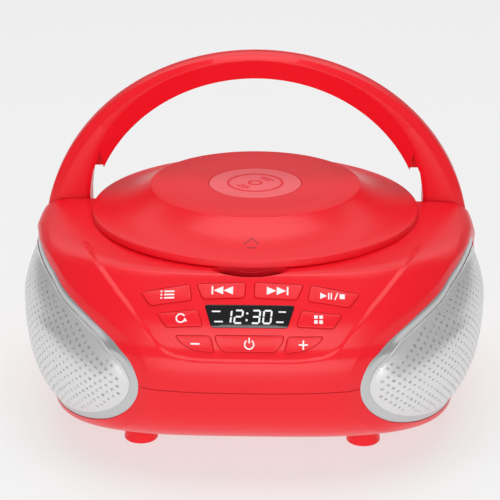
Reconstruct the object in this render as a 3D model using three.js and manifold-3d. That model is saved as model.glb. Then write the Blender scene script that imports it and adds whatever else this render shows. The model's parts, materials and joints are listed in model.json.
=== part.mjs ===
// Portable top-loading CD boombox: two-part plastic case, side speakers, round disc lid,
// folding arch handle, control keys, telescopic antenna and the works inside.
// Millimetres, +Z up. The model is drawn around the disc axis (x = 0, y = 0) with the front
// towards -Y, then shifted so that the origin is the middle of the footprint.

import * as THREE from "three";
import { mergeVertices } from "three/addons/utils/BufferGeometryUtils.js";
import Module from "manifold-3d";

const wasm = await Module();
wasm.setup();

// ---------------------------------------------------------------- driving dimensions
const GAP = 0.3; // between pieces that touch
const WALL = 2.5; // case wall
const FRONT_WALL = 4.6; // thicker behind the control panel and the grille edges
const FOOT_HEIGHT = 9; // ground to the flat underside
const SEAM_Z = 52; // joint between the two case halves
const TOP_Z = 104.5; // flat top of the case under the lid
const CASE_FRONT = 118; // disc axis to the front
const CASE_REAR = 104; // disc axis to the rear
const GRILLE_THICKNESS = 1.9;
const SPEAKER_DIRECTION = [0.82, -0.57]; // plan direction that the right speaker faces
const SPEAKER_Z = 60;
const SPEAKER_R = 30;
const LID_R = 86;
const LID_TOP_Z = 121;
const PLATEAU_R = 55.6;
const LID_HINGE = { y: 83, z: 101 };
const WELL_R = 79; // recess for the lid's inner plate
const WELL_Z = 98;
const BOWL_R = 64; // room for a 120 mm disc
const BOWL_Z = 90;
const DECK_Z = 76; // lowered deck that the folded handle drops over
const HANDLE_PIVOT = { y: 28, z: 86 };
const HANDLE_FRONT_Y = 17.8; // face of the shoulders that the handle stops against
const HUB_R = 9.5;
const LEG_INNER_X = 89.6;
const LEG_OUTER_X = 113.8;
const LEG_FOOT_Z = 86; // the legs run into their hubs here
const NOTCH_Z = 120.4; // underside of the thicker arch, beside the legs
const KEY_DEPTH = 6;
const BAY = { x: 54, y0: -15, y1: 45, z: 40 }; // battery bay for four C cells
const PIN_HOLE_R = 1.8; // for the lid's hinge pin
const PIVOT_HOLE_R = 4.3; // for the handle's pivots
const SCREW_HOLE_R = 1.8;
const BOSS_R = 4.6;
const SCREWS = [[30, -60], [-30, -60], [70, 62], [-70, 62]];
const FEET = [
  [57.8, -58, "front_right"], [-57.8, -58, "front_left"],
  [57.8, 62, "rear_right"], [-57.8, 62, "rear_left"],
];
const ANTENNA = { x: 62, y: 97.5, z: 66 };
const LEDGE = { x: 76, y: 93.5, z: 61.5 }; // rear step that holds the folded antenna

// Case outline: height, reach to the front, half width, reach to the rear, and the power of
// the superellipse, which is boxier towards the bottom.
const CASE_LEVELS = [
  [9, 66, 100.5, 74, 3.9], [11, 74, 101.8, 82, 3.8], [15, 87, 105, 90, 3.6], [22, 101.5, 108.8, 97, 3.3],
  [30, 110.5, 113.3, 101, 3], [40, 116, 116.6, 103.5, 2.75], [52, 118, 118.7, 104, 2.7],
  [60, 117.4, 119.5, 104, 2.7], [67.5, 115.2, 119.8, 103.7, 2.7], [73, 111.8, 119.7, 103, 2.7],
  [80, 109.3, 119, 102, 2.7], [86, 106.2, 118.2, 101, 2.7], [93, 100.8, 116.9, 99, 2.7],
  [100, 95, 114.3, 96, 2.7], [103, 92.6, 110.5, 94, 2.7], [104.5, 91, 106, 92, 2.7],
];
const CASE_STEPS = 36; // flats round the outside of the case
const CAVITY_STEPS = 24; // and round the inside
const GRILLE_RISE = 1.3; // how far the grilles stand out of the case at its sides

const RED = { color: 0xe21624, roughness: 0.35, metalness: 0 };
const SILVER = { color: 0xd2d4d6, roughness: 0.4, metalness: 0.6 };
const BLACK = { color: 0x111214, roughness: 0.3, metalness: 0 };
const STEEL = { color: 0xb8bcc0, roughness: 0.3, metalness: 1 };
const BOARD = { color: 0x1d6b3a, roughness: 0.6, metalness: 0 };
const GREY = { color: 0x4a4c50, roughness: 0.6, metalness: 0 };
const PAPER = { color: 0x1c1c1e, roughness: 0.9, metalness: 0 };

// ---------------------------------------------------------------- geometry helpers
// Turns a closed geometry into a solid for the boolean steps.
function solid(geometry) {
  const bare = geometry.index ? geometry.clone() : geometry;
  for (const name of Object.keys(bare.attributes)) if (name !== "position") bare.deleteAttribute(name);
  const merged = mergeVertices(bare, 1e-4);
  return new wasm.Manifold(new wasm.Mesh({
    numProp: 3,
    vertProperties: Float32Array.from(merged.attributes.position.array),
    triVerts: Uint32Array.from(merged.index.array),
  }));
}

function geometryOf(manifold) {
  const { numProp, vertProperties, triVerts } = manifold.getMesh();
  const positions = new Float32Array((vertProperties.length / numProp) * 3);
  for (let i = 0; i < positions.length / 3; i++) {
    for (let k = 0; k < 3; k++) positions[3 * i + k] = vertProperties[numProp * i + k];
  }
  const geometry = new THREE.BufferGeometry();
  geometry.setAttribute("position", new THREE.BufferAttribute(positions, 3));
  geometry.setIndex(new THREE.BufferAttribute(Uint32Array.from(triVerts), 1));
  geometry.computeVertexNormals();
  return geometry;
}

const join = (...pieces) => pieces.reduce((a, b) => a.add(b));
const cut = (piece, ...tools) => tools.reduce((a, b) => a.subtract(b), piece);

function box(x0, x1, y0, y1, z0, z1) {
  const geometry = new THREE.BoxGeometry(x1 - x0, y1 - y0, z1 - z0);
  return solid(geometry.translate((x0 + x1) / 2, (y0 + y1) / 2, (z0 + z1) / 2));
}

// Cylinder between two heights or two places along an axis.
function cylinder(axis, r, [a, b], from, to, segments = 24) {
  const geometry = new THREE.CylinderGeometry(r, r, to - from, segments);
  const middle = (from + to) / 2;
  if (axis === "z") return solid(geometry.rotateX(Math.PI / 2).translate(a, b, middle));
  if (axis === "y") return solid(geometry.translate(a, middle, b));
  return solid(geometry.rotateZ(Math.PI / 2).translate(middle, a, b));
}

// Solid of revolution about +Z from [radius, height] points, closed on the axis or on itself.
function turned(points, segments = 32) {
  const profile = points.map(([r, z]) => new THREE.Vector2(r, z));
  if (points[0][0] > 0) profile.push(profile[0].clone());
  const area = profile.reduce((sum, p, i) => {
    const q = profile[(i + 1) % profile.length];
    return sum + p.x * q.y - q.x * p.y;
  }, 0);
  if (area < 0) profile.reverse();
  return solid(new THREE.LatheGeometry(profile, segments).rotateX(Math.PI / 2));
}

// Closed skin through rings of points, capped flat at both ends.
function skin(rings) {
  const count = rings[0].length;
  const positions = rings.flat(2);
  const index = [];
  const at = (ring, i) => ring * count + (i % count);
  for (let r = 0; r + 1 < rings.length; r++) {
    for (let i = 0; i < count; i++) {
      index.push(at(r, i), at(r, i + 1), at(r + 1, i + 1), at(r, i), at(r + 1, i + 1), at(r + 1, i));
    }
  }
  const last = rings.length - 1;
  for (let i = 1; i + 1 < count; i++) {
    index.push(at(0, 0), at(0, i + 1), at(0, i), at(last, 0), at(last, i), at(last, i + 1));
  }
  const geometry = new THREE.BufferGeometry();
  geometry.setAttribute("position", new THREE.Float32BufferAttribute(positions, 3));
  geometry.setIndex(index);
  return solid(geometry);
}

// ---------------------------------------------------------------- case outline
// Smooth curve through a column of the case levels.
function levelValue(column, z) {
  const last = CASE_LEVELS.length - 1;
  const slope = (i) => {
    const a = CASE_LEVELS[Math.max(i - 1, 0)];
    const b = CASE_LEVELS[Math.min(i + 1, last)];
    return (b[column] - a[column]) / (b[0] - a[0]);
  };
  let i = 0;
  while (i < last - 1 && z > CASE_LEVELS[i + 1][0]) i++;
  const [from, to] = [CASE_LEVELS[i], CASE_LEVELS[i + 1]];
  const h = to[0] - from[0];
  const t = Math.min(Math.max((z - from[0]) / h, 0), 1);
  return (2 * t ** 3 - 3 * t ** 2 + 1) * from[column] + (t ** 3 - 2 * t ** 2 + t) * h * slope(i)
    + (3 * t ** 2 - 2 * t ** 3) * to[column] + (t ** 3 - t ** 2) * h * slope(i + 1);
}

// One level of the case, set in from the skin by different amounts at front, side and rear.
function caseRing(z, { front = 0, side = 0, rear = 0 }, steps, atZ = z) {
  const ring = [];
  const halfWidth = levelValue(2, z) - side;
  const corner = levelValue(4, z);
  for (let i = 0; i < steps; i++) {
    const angle = (2 * Math.PI * i) / steps;
    const [c, s] = [Math.cos(angle), Math.sin(angle)];
    const reach = s < 0 ? levelValue(1, z) - front : levelValue(3, z) - rear;
    const r = (Math.abs(c / halfWidth) ** corner + Math.abs(s / reach) ** corner) ** (-1 / corner);
    ring.push([r * c, r * s, atZ]);
  }
  return ring;
}

function caseLoft(inset, levels, steps = CASE_STEPS) {
  return skin(levels.map((z) => caseRing(z, inset, steps)));
}
const even = (value) => ({ front: value, side: value, rear: value });

const LOW_LEVELS = [9, 11, 15, 22, 30, 40, 52];
const HIGH_LEVELS = [52, 60, 67.5, 73, 80, 86, 93, 100, 103, 104.5];
const ALL_LEVELS = [...LOW_LEVELS, ...HIGH_LEVELS.slice(1)];
const lowSolid = caseLoft(even(0), LOW_LEVELS);
const highSolid = caseLoft(even(0), [52.3, ...HIGH_LEVELS.slice(1)]);
const INNER = { front: FRONT_WALL, side: WALL + 0.1, rear: WALL };
const above = (z) => box(-200, 200, -200, 200, z, 300);

// ---------------------------------------------------------------- speaker grilles
// Teardrop outline of the right grille, in the plane square to the speaker's direction:
// u runs from the rear to the front corner, v is the height.
const GRILLE_OUTLINE = [
  [59.6, 52], [58.3, 58], [53.6, 64.6], [45, 70.8], [33.6, 77.6], [22, 83.6], [7.8, 90], [-7.5, 95.6],
  [-33.7, 99.2], [-58, 95.2], [-80, 80.5], [-91, 60], [-82, 38], [-55, 24], [-20, 20.5], [13, 21.5],
  [36.5, 27.6], [50, 35.6], [57.2, 44],
];
const GRILLE_MIDDLE = [-12, 57];

function grillePrism(shrink, side, depth = [60, 150]) {
  const curve = new THREE.CatmullRomCurve3(GRILLE_OUTLINE.map(([u, v]) => new THREE.Vector3(u, v, 0)), true);
  const middle = new THREE.Vector2(...GRILLE_MIDDLE);
  const points = curve.getPoints(36).slice(0, -1).map((p) => {
    const offset = new THREE.Vector2(p.x, p.y).sub(middle);
    return offset.setLength(offset.length() - shrink).add(middle);
  });
  const geometry = new THREE.ExtrudeGeometry(new THREE.Shape(points.reverse()), {
    depth: depth[1] - depth[0], bevelEnabled: false,
  });
  const [gx, gy] = SPEAKER_DIRECTION;
  const across = new THREE.Vector3(gy, -gx, 0).normalize(); // towards the front corner, for the right side
  const up = new THREE.Vector3(0, 0, 1);
  const out = new THREE.Vector3(gx, gy, 0);
  const basis = new THREE.Matrix4().makeBasis(across, up, out);
  geometry.applyMatrix4(basis);
  geometry.translate(gx * depth[0], gy * depth[0], 0);
  if (basis.determinant() < 0) flipFaces(geometry);
  if (side < 0) mirrorX(geometry);
  return solid(geometry);
}

function flipFaces(geometry) {
  const position = geometry.attributes.position;
  for (let i = 0; i < position.count; i += 3) {
    for (const name of ["X", "Y", "Z"]) {
      const kept = position[`get${name}`](i + 1);
      position[`set${name}`](i + 1, position[`get${name}`](i + 2));
      position[`set${name}`](i + 2, kept);
    }
  }
}

function mirrorX(geometry) {
  geometry.scale(-1, 1, 1);
  flipFaces(geometry);
}

const grilleLoft = (inset) => caseLoft(
  { front: inset - 0.2, side: inset - GRILLE_RISE, rear: inset }, ALL_LEVELS);
const grilleRecess = (side) => cut(grillePrism(0, side), grilleLoft(GRILLE_THICKNESS + GAP));

function grille(side) {
  return cut(grilleLoft(0), grilleLoft(GRILLE_THICKNESS)).intersect(grillePrism(GAP, side));
}

// Parts that face the speaker's direction are drawn along +Z, then turned into place.
function facingOut(manifold, side) {
  const [gx, gy] = SPEAKER_DIRECTION;
  const geometry = geometryOf(manifold);
  const out = new THREE.Vector3(side * gx, gy, 0).normalize();
  const up = new THREE.Vector3(0, 0, 1);
  geometry.applyMatrix4(new THREE.Matrix4().makeBasis(up.clone().cross(out), up, out));
  return solid(geometry.translate(0, 0, SPEAKER_Z));
}

const speakerHole = (side) => facingOut(cylinder("z", SPEAKER_R - 3, [0, 0], 100, 140, 32), side);
const speakerBasket = (side) => facingOut(turned([
  [SPEAKER_R, 113], [SPEAKER_R, 115], [SPEAKER_R - 4, 115], [SPEAKER_R - 4, 113.5],
  [16, 100], [8, 100], [8, 97], [18, 97], [SPEAKER_R - 2.4, 113],
], 18), side);
const speakerCone = (side) => facingOut(turned([
  [SPEAKER_R - 5, 115.6], [SPEAKER_R - 8, 114.6], [9, 104], [6, 106], [0, 107.5],
  [0, 106], [5, 104.6], [6.5, 103], [9, 102.6], [SPEAKER_R - 8, 113.2], [SPEAKER_R - 5, 114.4],
], 16), side);
const speakerMagnet = (side) => facingOut(turned([
  [0, 84], [19, 84], [19, 96.6], [0, 96.6],
], 18), side);

// ---------------------------------------------------------------- control panel
// Outlines are drawn on the sloping panel: across, and down the slope.
const UPPER = { out: new THREE.Vector3(0, -0.78, 0.625).normalize(), from: 150, to: 126 };
const LOWER = { out: new THREE.Vector3(0, -0.949, 0.316).normalize(), from: 142, to: 120.6 };
const PLAY_KEY = [[29.7, -19.2], [53.8, -15.6], [48.8, -8.6], [28.2, -11]];
const NEXT_KEY = [[2.2, -20.2], [26.2, -19.3], [23.1, -11.5], [2.3, -12.2]];
const MODE_KEY = [[25.4, -6.1], [45.3, -4.5], [40.8, 2.4], [22.7, 2.1]];
const VOLUME_KEY = [
  [18.9, -40.1], [36.4, -40.2], [33.2, -36.4], [27.5, -33.4], [18.8, -32.2], [17.1, -32.7],
];
const POWER_KEY = [
  [-17, -40.5], [17, -40.5], [15.6, -36], [12.6, -32.6], [-12.6, -32.6], [-15.6, -36],
];
const WINDOW = [[-22, -8.6], [22, -8.6], [18.5, 2.8], [-18.5, 2.8]];
const mirrored = (outline) => outline.map(([x, s]) => [-x, s]);

// Moves each side of a convex outline outwards by an amount.
function offsetOutline(outline, amount) {
  const corners = outline.map(([x, s]) => new THREE.Vector2(x, s));
  if (THREE.ShapeUtils.isClockWise(corners)) corners.reverse();
  return corners.map((corner, i) => {
    const before = corners.at(i - 1);
    const after = corners[(i + 1) % corners.length];
    const normalOf = (a, b) => new THREE.Vector2(b.y - a.y, a.x - b.x).normalize();
    const [n, m] = [normalOf(before, corner), normalOf(corner, after)];
    return corner.clone().addScaledVector(n.clone().add(m), amount / (1 + n.dot(m)));
  });
}

// Prism through the panel, grown or shrunk by an amount all round.
function panelPrism(plane, outline, grow = 0, from = plane.from, to = plane.to) {
  const points = offsetOutline(outline, grow);
  if (THREE.ShapeUtils.isClockWise(points)) points.reverse();
  const settings = { depth: from - to, bevelEnabled: false };
  const geometry = new THREE.ExtrudeGeometry(new THREE.Shape(points), settings);
  const across = new THREE.Vector3(1, 0, 0);
  const inwards = plane.out.clone().negate();
  const down = inwards.clone().cross(across);
  geometry.applyMatrix4(new THREE.Matrix4().makeBasis(across, down, inwards));
  const start = plane.out.clone().multiplyScalar(from);
  return solid(geometry.translate(start.x, start.y, start.z));
}

const keySkin = cut(caseLoft(even(-0.3), ALL_LEVELS), caseLoft(even(KEY_DEPTH), ALL_LEVELS));
const windowSkin = cut(caseLoft(even(0.2), ALL_LEVELS), caseLoft(even(2), ALL_LEVELS));
const KEYS = {
  key_program: [UPPER, mirrored(PLAY_KEY)],
  key_previous: [UPPER, mirrored(NEXT_KEY)],
  key_next: [UPPER, NEXT_KEY],
  key_play: [UPPER, PLAY_KEY],
  key_repeat: [UPPER, mirrored(MODE_KEY)],
  key_mode: [UPPER, MODE_KEY],
  key_volume_down: [LOWER, mirrored(VOLUME_KEY)],
  key_power: [LOWER, POWER_KEY],
  key_volume_up: [LOWER, VOLUME_KEY],
};
const keyHoles = Object.values(KEYS).map(([plane, outline]) => panelPrism(plane, outline, GAP));
const windowHole = panelPrism(UPPER, WINDOW, GAP);

// ---------------------------------------------------------------- top half of the case
const well = (grow) => turned([
  [0, BOWL_Z - grow], [BOWL_R + grow, BOWL_Z - grow], [BOWL_R + grow, WELL_Z - grow],
  [WELL_R + grow, WELL_Z - grow], [WELL_R + grow, 120], [0, 120],
], 32);
const drum = (r) => cylinder("z", r, [0, 0], 40, 130, 40);

// The disc tray is a moulding of its own that drops into a round hole in the top of the case.
const trayRoom = turned([
  [0, BOWL_Z - WALL - GAP], [BOWL_R + WALL + GAP, BOWL_Z - WALL - GAP],
  [BOWL_R + WALL + GAP, WELL_Z - WALL - GAP], [WELL_R, WELL_Z - WALL - GAP], [WELL_R, 120], [0, 120],
], 32);
const hookHole = box(-4, 4, -78.7, -73, 90, 100);
const hingeRoom = join(box(-30.5, 30.5, 79.5, 100, 99, 130), box(-20.3, 20.3, 78, 100, 94.8, 130));

function discTray() {
  const tray = cut(well(WALL).intersect(cylinder("z", WELL_R - GAP, [0, 0], 80, WELL_Z, 32)), well(0));
  const spindleHole = cylinder("z", 17, [0, 0], 80, 95, 32);
  const pickupWindow = box(23, 64, -6, 6, 80, 95);
  return cut(tray, spindleHole, pickupWindow, hookHole, hingeRoom);
}

// Space over the rear deck, leaving the lid's drum and the ears that hold the handle.
function deckSpace(grow) {
  const behind = box(-130, 130, HANDLE_FRONT_Y - grow, 130, DECK_Z - grow, 130);
  const space = cut(behind, drum(LID_R + GAP - grow));
  if (grow) return space;
  const ear = (side) => {
    const outer = side > 0 ? [LEG_OUTER_X + 0.5, 125] : [-125, -LEG_OUTER_X - 0.5];
    const inner = side > 0 ? [78, LEG_INNER_X - 0.4] : [-LEG_INNER_X + 0.4, -78];
    const { y, z } = HANDLE_PIVOT;
    return [outer, inner].flatMap(([x0, x1]) => [
      cylinder("x", 11.5, [y, z], x0, x1, 32),
      box(x0, x1, HANDLE_FRONT_Y - 1, y + 11.5, DECK_Z - 1, z),
    ]);
  };
  return cut(space, ...ear(1), ...ear(-1));
}
const antennaLedge = (grow) => box(
  -LEDGE.x - grow, LEDGE.x - 4 + grow, LEDGE.y - grow, 120, LEDGE.z - grow, 130);
const pinHole = (r) => cylinder("x", r, [LID_HINGE.y, LID_HINGE.z], -31, 31, 16);

function topShell() {
  const loft = caseLoft(INNER, [50, 60, 73, 86, 93, 102], CAVITY_STEPS);
  const cavity = cut(loft, well(WALL), deckSpace(WALL), antennaLedge(WALL));
  const hinges = [-1, 1].flatMap((side) => {
    const [x0, x1] = side > 0 ? [20.5, 29] : [-29, -20.5];
    return [cylinder("x", 3.6, [LID_HINGE.y, LID_HINGE.z], x0, x1, 20), box(x0, x1, 79, 86.6, 88, 101)];
  });
  const bosses = SCREWS.map(([x, y]) => {
    const top = y < 0 ? WELL_Z : DECK_Z;
    return cylinder("z", BOSS_R, [x, y], SEAM_Z + GAP, top - 1, 16);
  });
  let shell = join(cut(highSolid, cavity), ...bosses);
  shell = cut(shell, trayRoom, deckSpace(0), antennaLedge(0), hingeRoom);
  shell = join(shell, ...hinges);
  shell = cut(shell, pinHole(PIN_HOLE_R), hookHole);
  shell = cut(shell, ...SCREWS.map(([x, y]) => cylinder("z", SCREW_HOLE_R, [x, y], SEAM_Z - 5, 64, 12)));
  const { y, z } = HANDLE_PIVOT;
  shell = cut(shell, cylinder("x", PIVOT_HOLE_R, [y, z], -117.6, -81, 20));
  shell = cut(shell, cylinder("x", PIVOT_HOLE_R, [y, z], 81, 117.6, 20));
  shell = cut(shell, cylinder("y", 4.5, [ANTENNA.x, ANTENNA.z], 84, 96, 20));
  const finger = new THREE.SphereGeometry(1, 16, 8).scale(19, 6.3, 5.2).translate(0, -86, 105);
  shell = cut(shell, solid(finger));
  shell = cut(shell, ...keyHoles, windowHole);
  for (const side of [-1, 1]) shell = cut(shell, grilleRecess(side), speakerHole(side));
  return largest(shell);
}

// Drops loose slivers that a cut may leave.
function largest(manifold) {
  const bodies = manifold.decompose();
  return bodies.reduce((a, b) => (b.volume() > a.volume() ? b : a));
}

// ---------------------------------------------------------------- bottom half of the case
const REAR_SOCKETS = {
  mains_inlet: { x: -44, z: 31, width: 24, height: 17, from: 72 },
  usb_socket: { x: -14, z: 34, width: 16, height: 9, from: 84 },
};
const JACKS = { aux_jack: 10, phones_jack: 30 };
const JACK_Z = 34;

function bottomShell() {
  const inside = caseLoft(INNER, [9, 11, 15, 22, 30, 40, 53], CAVITY_STEPS);
  const cavity = inside.intersect(above(FOOT_HEIGHT + WALL));
  const bay = box(-BAY.x - 2, BAY.x + 2, BAY.y0 - 2, BAY.y1 + 2, 9.5, BAY.z + 2);
  const posts = SCREWS.map(([x, y]) => cylinder("z", 5.6, [x, y], 5, SEAM_Z, 16).intersect(lowSolid));
  let shell = join(cut(lowSolid, cavity), bay, ...posts);
  shell = cut(shell, box(-BAY.x, BAY.x, BAY.y0, BAY.y1, 0, BAY.z));
  shell = cut(shell, ...SCREWS.flatMap(([x, y]) => [
    cylinder("z", 3.7, [x, y], 0, 40, 16), cylinder("z", SCREW_HOLE_R, [x, y], 39, 60, 12),
  ]));
  for (const s of Object.values(REAR_SOCKETS)) {
    const [w, h] = [s.width / 2 + GAP, s.height / 2 + GAP];
    shell = cut(shell, box(s.x - w, s.x + w, s.from, 110, s.z - h, s.z + h));
  }
  for (const x of Object.values(JACKS)) shell = cut(shell, cylinder("y", 5.3, [x, JACK_Z], 80, 110, 20));
  for (const side of [-1, 1]) shell = cut(shell, grilleRecess(side), speakerHole(side));
  return largest(shell);
}

// The case grown by the gap on every side, to trim what stands against its underside.
const grownUnderside = skin(LOW_LEVELS.map((z) => caseRing(z, even(-GAP), CASE_STEPS, z - 1.3 * GAP)));

function foot([x, y]) {
  const leg = turned([[0, 0], [8.3, 0], [8.8, 0.6], [8.4, 4], [8, 17], [0, 17]], 20);
  return largest(cut(solid(geometryOf(leg).translate(x, y, 0)), grownUnderside));
}

function screw([x, y]) {
  const body = turned([[0, 37.4], [3.3, 37.4], [3.3, 39.4], [1.5, 39.7], [1.5, 62], [0, 63]], 14);
  return solid(geometryOf(body).translate(x, y, 0));
}

function batteryDoor() {
  const [x, y0, y1] = [BAY.x - GAP, BAY.y0 + GAP, BAY.y1 - GAP];
  const plate = box(-x, x, y0, y1, FOOT_HEIGHT, FOOT_HEIGHT + 2);
  const grip = box(-12, 12, BAY.y0 + 3, BAY.y0 + 7, FOOT_HEIGHT - 1, FOOT_HEIGHT + 1);
  return cut(plate, grip);
}

// ---------------------------------------------------------------- lid
function lid() {
  const shell = turned([
    [0, LID_TOP_Z - 0.8], [24.6, LID_TOP_Z - 0.8], [24.6, LID_TOP_Z], [PLATEAU_R - 0.5, LID_TOP_Z],
    [PLATEAU_R, LID_TOP_Z - 0.5], [60, 117.5], [66, 114.2], [74, 111.3], [82, 109.6], [LID_R, 108.8],
    [LID_R, 105], [83.8, 105], [83.8, 107], [74, 109.1], [66, 112], [60, 115], [55, 118.2], [0, 118.2],
  ], 40);
  const arms = [-1, 1].flatMap((side) => {
    const [x0, x1] = side > 0 ? [13, 20] : [-20, -13];
    return [box(x0, x1, 79.6, 84.5, 100, 108), cylinder("x", 3.4, [LID_HINGE.y, LID_HINGE.z], x0, x1, 20)];
  });
  const hook = join(box(-2.5, 2.5, -77.6, -75.4, 93, 110), box(-2.5, 2.5, -77.6, -74.2, 93, 94.8));
  const spacers = [0, 2.1, 4.2].map((angle) => {
    const place = [40 * Math.cos(angle), 40 * Math.sin(angle)];
    return cylinder("z", 3, place, 107.3, 118.6, 12);
  });
  return cut(join(shell, ...arms, hook, ...spacers), pinHole(PIN_HOLE_R));
}
const lidBadge = () => turned([
  [0, LID_TOP_Z - 0.5], [24.3, LID_TOP_Z - 0.5], [24.3, LID_TOP_Z - 0.1], [24, LID_TOP_Z], [0, LID_TOP_Z],
], 32);
const lidPlate = () => cut(
  turned([[10.5, 105.4], [75, 105.4], [75, 107], [10.5, 107]], 32), box(-12, 12, -90, -73, 100, 110));
const clamper = () => turned([
  [8.3, 99.2], [14, 99.2], [14, 101.6], [9.9, 102.6], [9.9, 107.3], [13.5, 107.3], [13.5, 108.6],
  [0, 108.6], [0, 101.8], [8.3, 101.8],
], 20);
const hingePin = () => cylinder("x", 1.5, [LID_HINGE.y, LID_HINGE.z], -29, 29, 14);

// ---------------------------------------------------------------- handle
const ARCH_OUTER = { z: 79.3, width: 115, height: 105.4, power: 2.02 };
const ARCH_INNER = { z: 88.6, width: 89.5, height: 82.4, power: 2 };
const ARCH_STEPS = 32;
const HANDLE_Y = { front: 19.5, split: 29.6, crest: 32.5, back: 36.5 };

function archPoint({ z, width, height, power }, angle) {
  const [c, s] = [Math.cos(angle), Math.sin(angle)];
  return [width * Math.sign(c) * Math.abs(c) ** (2 / power), z + height * Math.abs(s) ** (2 / power)];
}

// Section of the arch, as [share of the way from the outer to the inner curve, y]. The flat
// front face is wide on the legs and narrows to a ridge near the top of the crown.
function archSection(angle) {
  const rise = Math.sin(angle);
  const outerEdge = 0.17 + 0.1 * Math.abs(Math.sin(2 * angle));
  const innerEdge = 0.9 - 0.72 * rise ** 1.3;
  const { front, crest, back } = HANDLE_Y;
  return [
    [0, crest], [0, front + 3.5 - 1.5 * rise], [outerEdge, front],
    [Math.max(innerEdge, outerEdge + 0.02), front], [1, front + 2 + 2.5 * rise],
    [1, back - 1], [0.9, back], [0.14, back],
  ];
}

function archSolid() {
  const rings = [];
  for (let i = 0; i <= ARCH_STEPS; i++) {
    const angle = (Math.PI * i) / ARCH_STEPS;
    const [ox, oz] = archPoint(ARCH_OUTER, angle);
    const [ix, iz] = archPoint(ARCH_INNER, angle);
    rings.push(archSection(angle).map(([t, y]) => [ox + (ix - ox) * t, y, oz + (iz - oz) * t]).reverse());
  }
  return cut(skin(rings), box(-130, 130, 0, 60, 60, LEG_FOOT_Z));
}
const arch = archSolid();
const rearHalf = (y, z) => box(-130, 130, y, 60, z, 200);

// What the legs leave free: up to the notch, and in front a pointed groove above it.
const LEG_ROOM = [[0, 60], [LEG_INNER_X, 60], [LEG_INNER_X, 108], [88.9, 114], [87.7, NOTCH_Z]];
const GROOVE = [[85.6, 125.5], [83.9, 130.6], [82, NOTCH_Z]];
function legRoom(outline, side) {
  const shape = new THREE.Shape([...outline, [0, NOTCH_Z]].map(([x, z]) => new THREE.Vector2(side * x, z)));
  const geometry = new THREE.ExtrudeGeometry(shape, { depth: 60, bevelEnabled: false });
  return solid(geometry.rotateX(Math.PI / 2).translate(0, 60, 0));
}

function handleFront() {
  const { y, z } = HANDLE_PIVOT;
  const hubs = [[LEG_INNER_X, LEG_OUTER_X], [-LEG_OUTER_X, -LEG_INNER_X]].map(
    ([a, b]) => cylinder("x", HUB_R, [y, z], a, b, 28));
  const rooms = [-1, 1].map((side) => legRoom([...LEG_ROOM, ...GROOVE], side));
  const frame = join(cut(arch, rearHalf(HANDLE_Y.split, NOTCH_Z - 0.2), ...rooms), ...hubs);
  const earRooms = [[LEG_OUTER_X, 125], [-125, -LEG_OUTER_X]].map(
    ([a, b]) => cylinder("x", 12.2, [y, z], a, b, 32));
  return cut(frame, ...earRooms, cylinder("x", PIVOT_HOLE_R, [y, z], -130, 130, 20));
}
function handleRear() {
  const rooms = [-1, 1].map((side) => legRoom(LEG_ROOM, side));
  return cut(arch.intersect(rearHalf(HANDLE_Y.split + GAP, NOTCH_Z + 0.1)), ...rooms);
}
const handlePivot = (side) => {
  const { y, z } = HANDLE_PIVOT;
  const [from, to] = side > 0 ? [81.5, 117.2] : [-117.2, -81.5];
  return cylinder("x", PIVOT_HOLE_R - GAP, [y, z], from, to, 20);
};

// ---------------------------------------------------------------- antenna
const antennaSwivel = () => cut(
  join(cylinder("y", 4.2, [ANTENNA.x, ANTENNA.z], 86, 94.5, 20),
    cylinder("y", 4.3, [ANTENNA.x, ANTENNA.z], 94, 101, 20)),
  cylinder("x", 1, [ANTENNA.y, ANTENNA.z], ANTENNA.x - 6, ANTENNA.x - 3, 8));
function rod(r, bore, from, to, plug = 4) {
  const outer = cylinder("x", r, [ANTENNA.y, ANTENNA.z], from, to, 16);
  return bore ? cut(outer, cylinder("x", bore, [ANTENNA.y, ANTENNA.z], from - 1, to - plug, 16)) : outer;
}
const ANTENNA_END = -50;
const antennaTip = () => join(
  rod(1, 0, ANTENNA_END - 3, ANTENNA.x - 14),
  cylinder("x", 2.2, [ANTENNA.y, ANTENNA.z], ANTENNA_END - 6, ANTENNA_END - 2, 14));

// ---------------------------------------------------------------- disc drive
const turntable = () => turned([
  [0, 86.4], [1.4, 86.4], [1.4, 90], [6, 90.6], [6, 95.6], [15.5, 95.6], [15.5, 97.5],
  [7.6, 97.5], [7.2, 99.4], [5.5, 100.6], [0, 100.6],
], 20);
const spindleMotor = () => cylinder("z", 12, [0, 0], 70.3, 86, 28);
const chassis = () => cut(
  cut(box(-24, 79, -27, 27, 67.5, 86.6), box(-21.5, 76.5, -24.5, 24.5, 70, 90)),
  ...[-15, 15].map((y) => cylinder("x", 1.8, [y, 82], -30, 90, 12)));
const sled = () => cut(
  join(box(16, 42, -19, 19, 77, 86.4), cylinder("z", 4, [29, 0], 86, 89.6, 20)),
  ...[-15, 15].map((y) => cylinder("x", 1.8, [y, 82], 0, 60, 12)));
const sledRod = (y) => cylinder("x", 1.5, [y, 82], -23.5, 78.5, 12);

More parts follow.
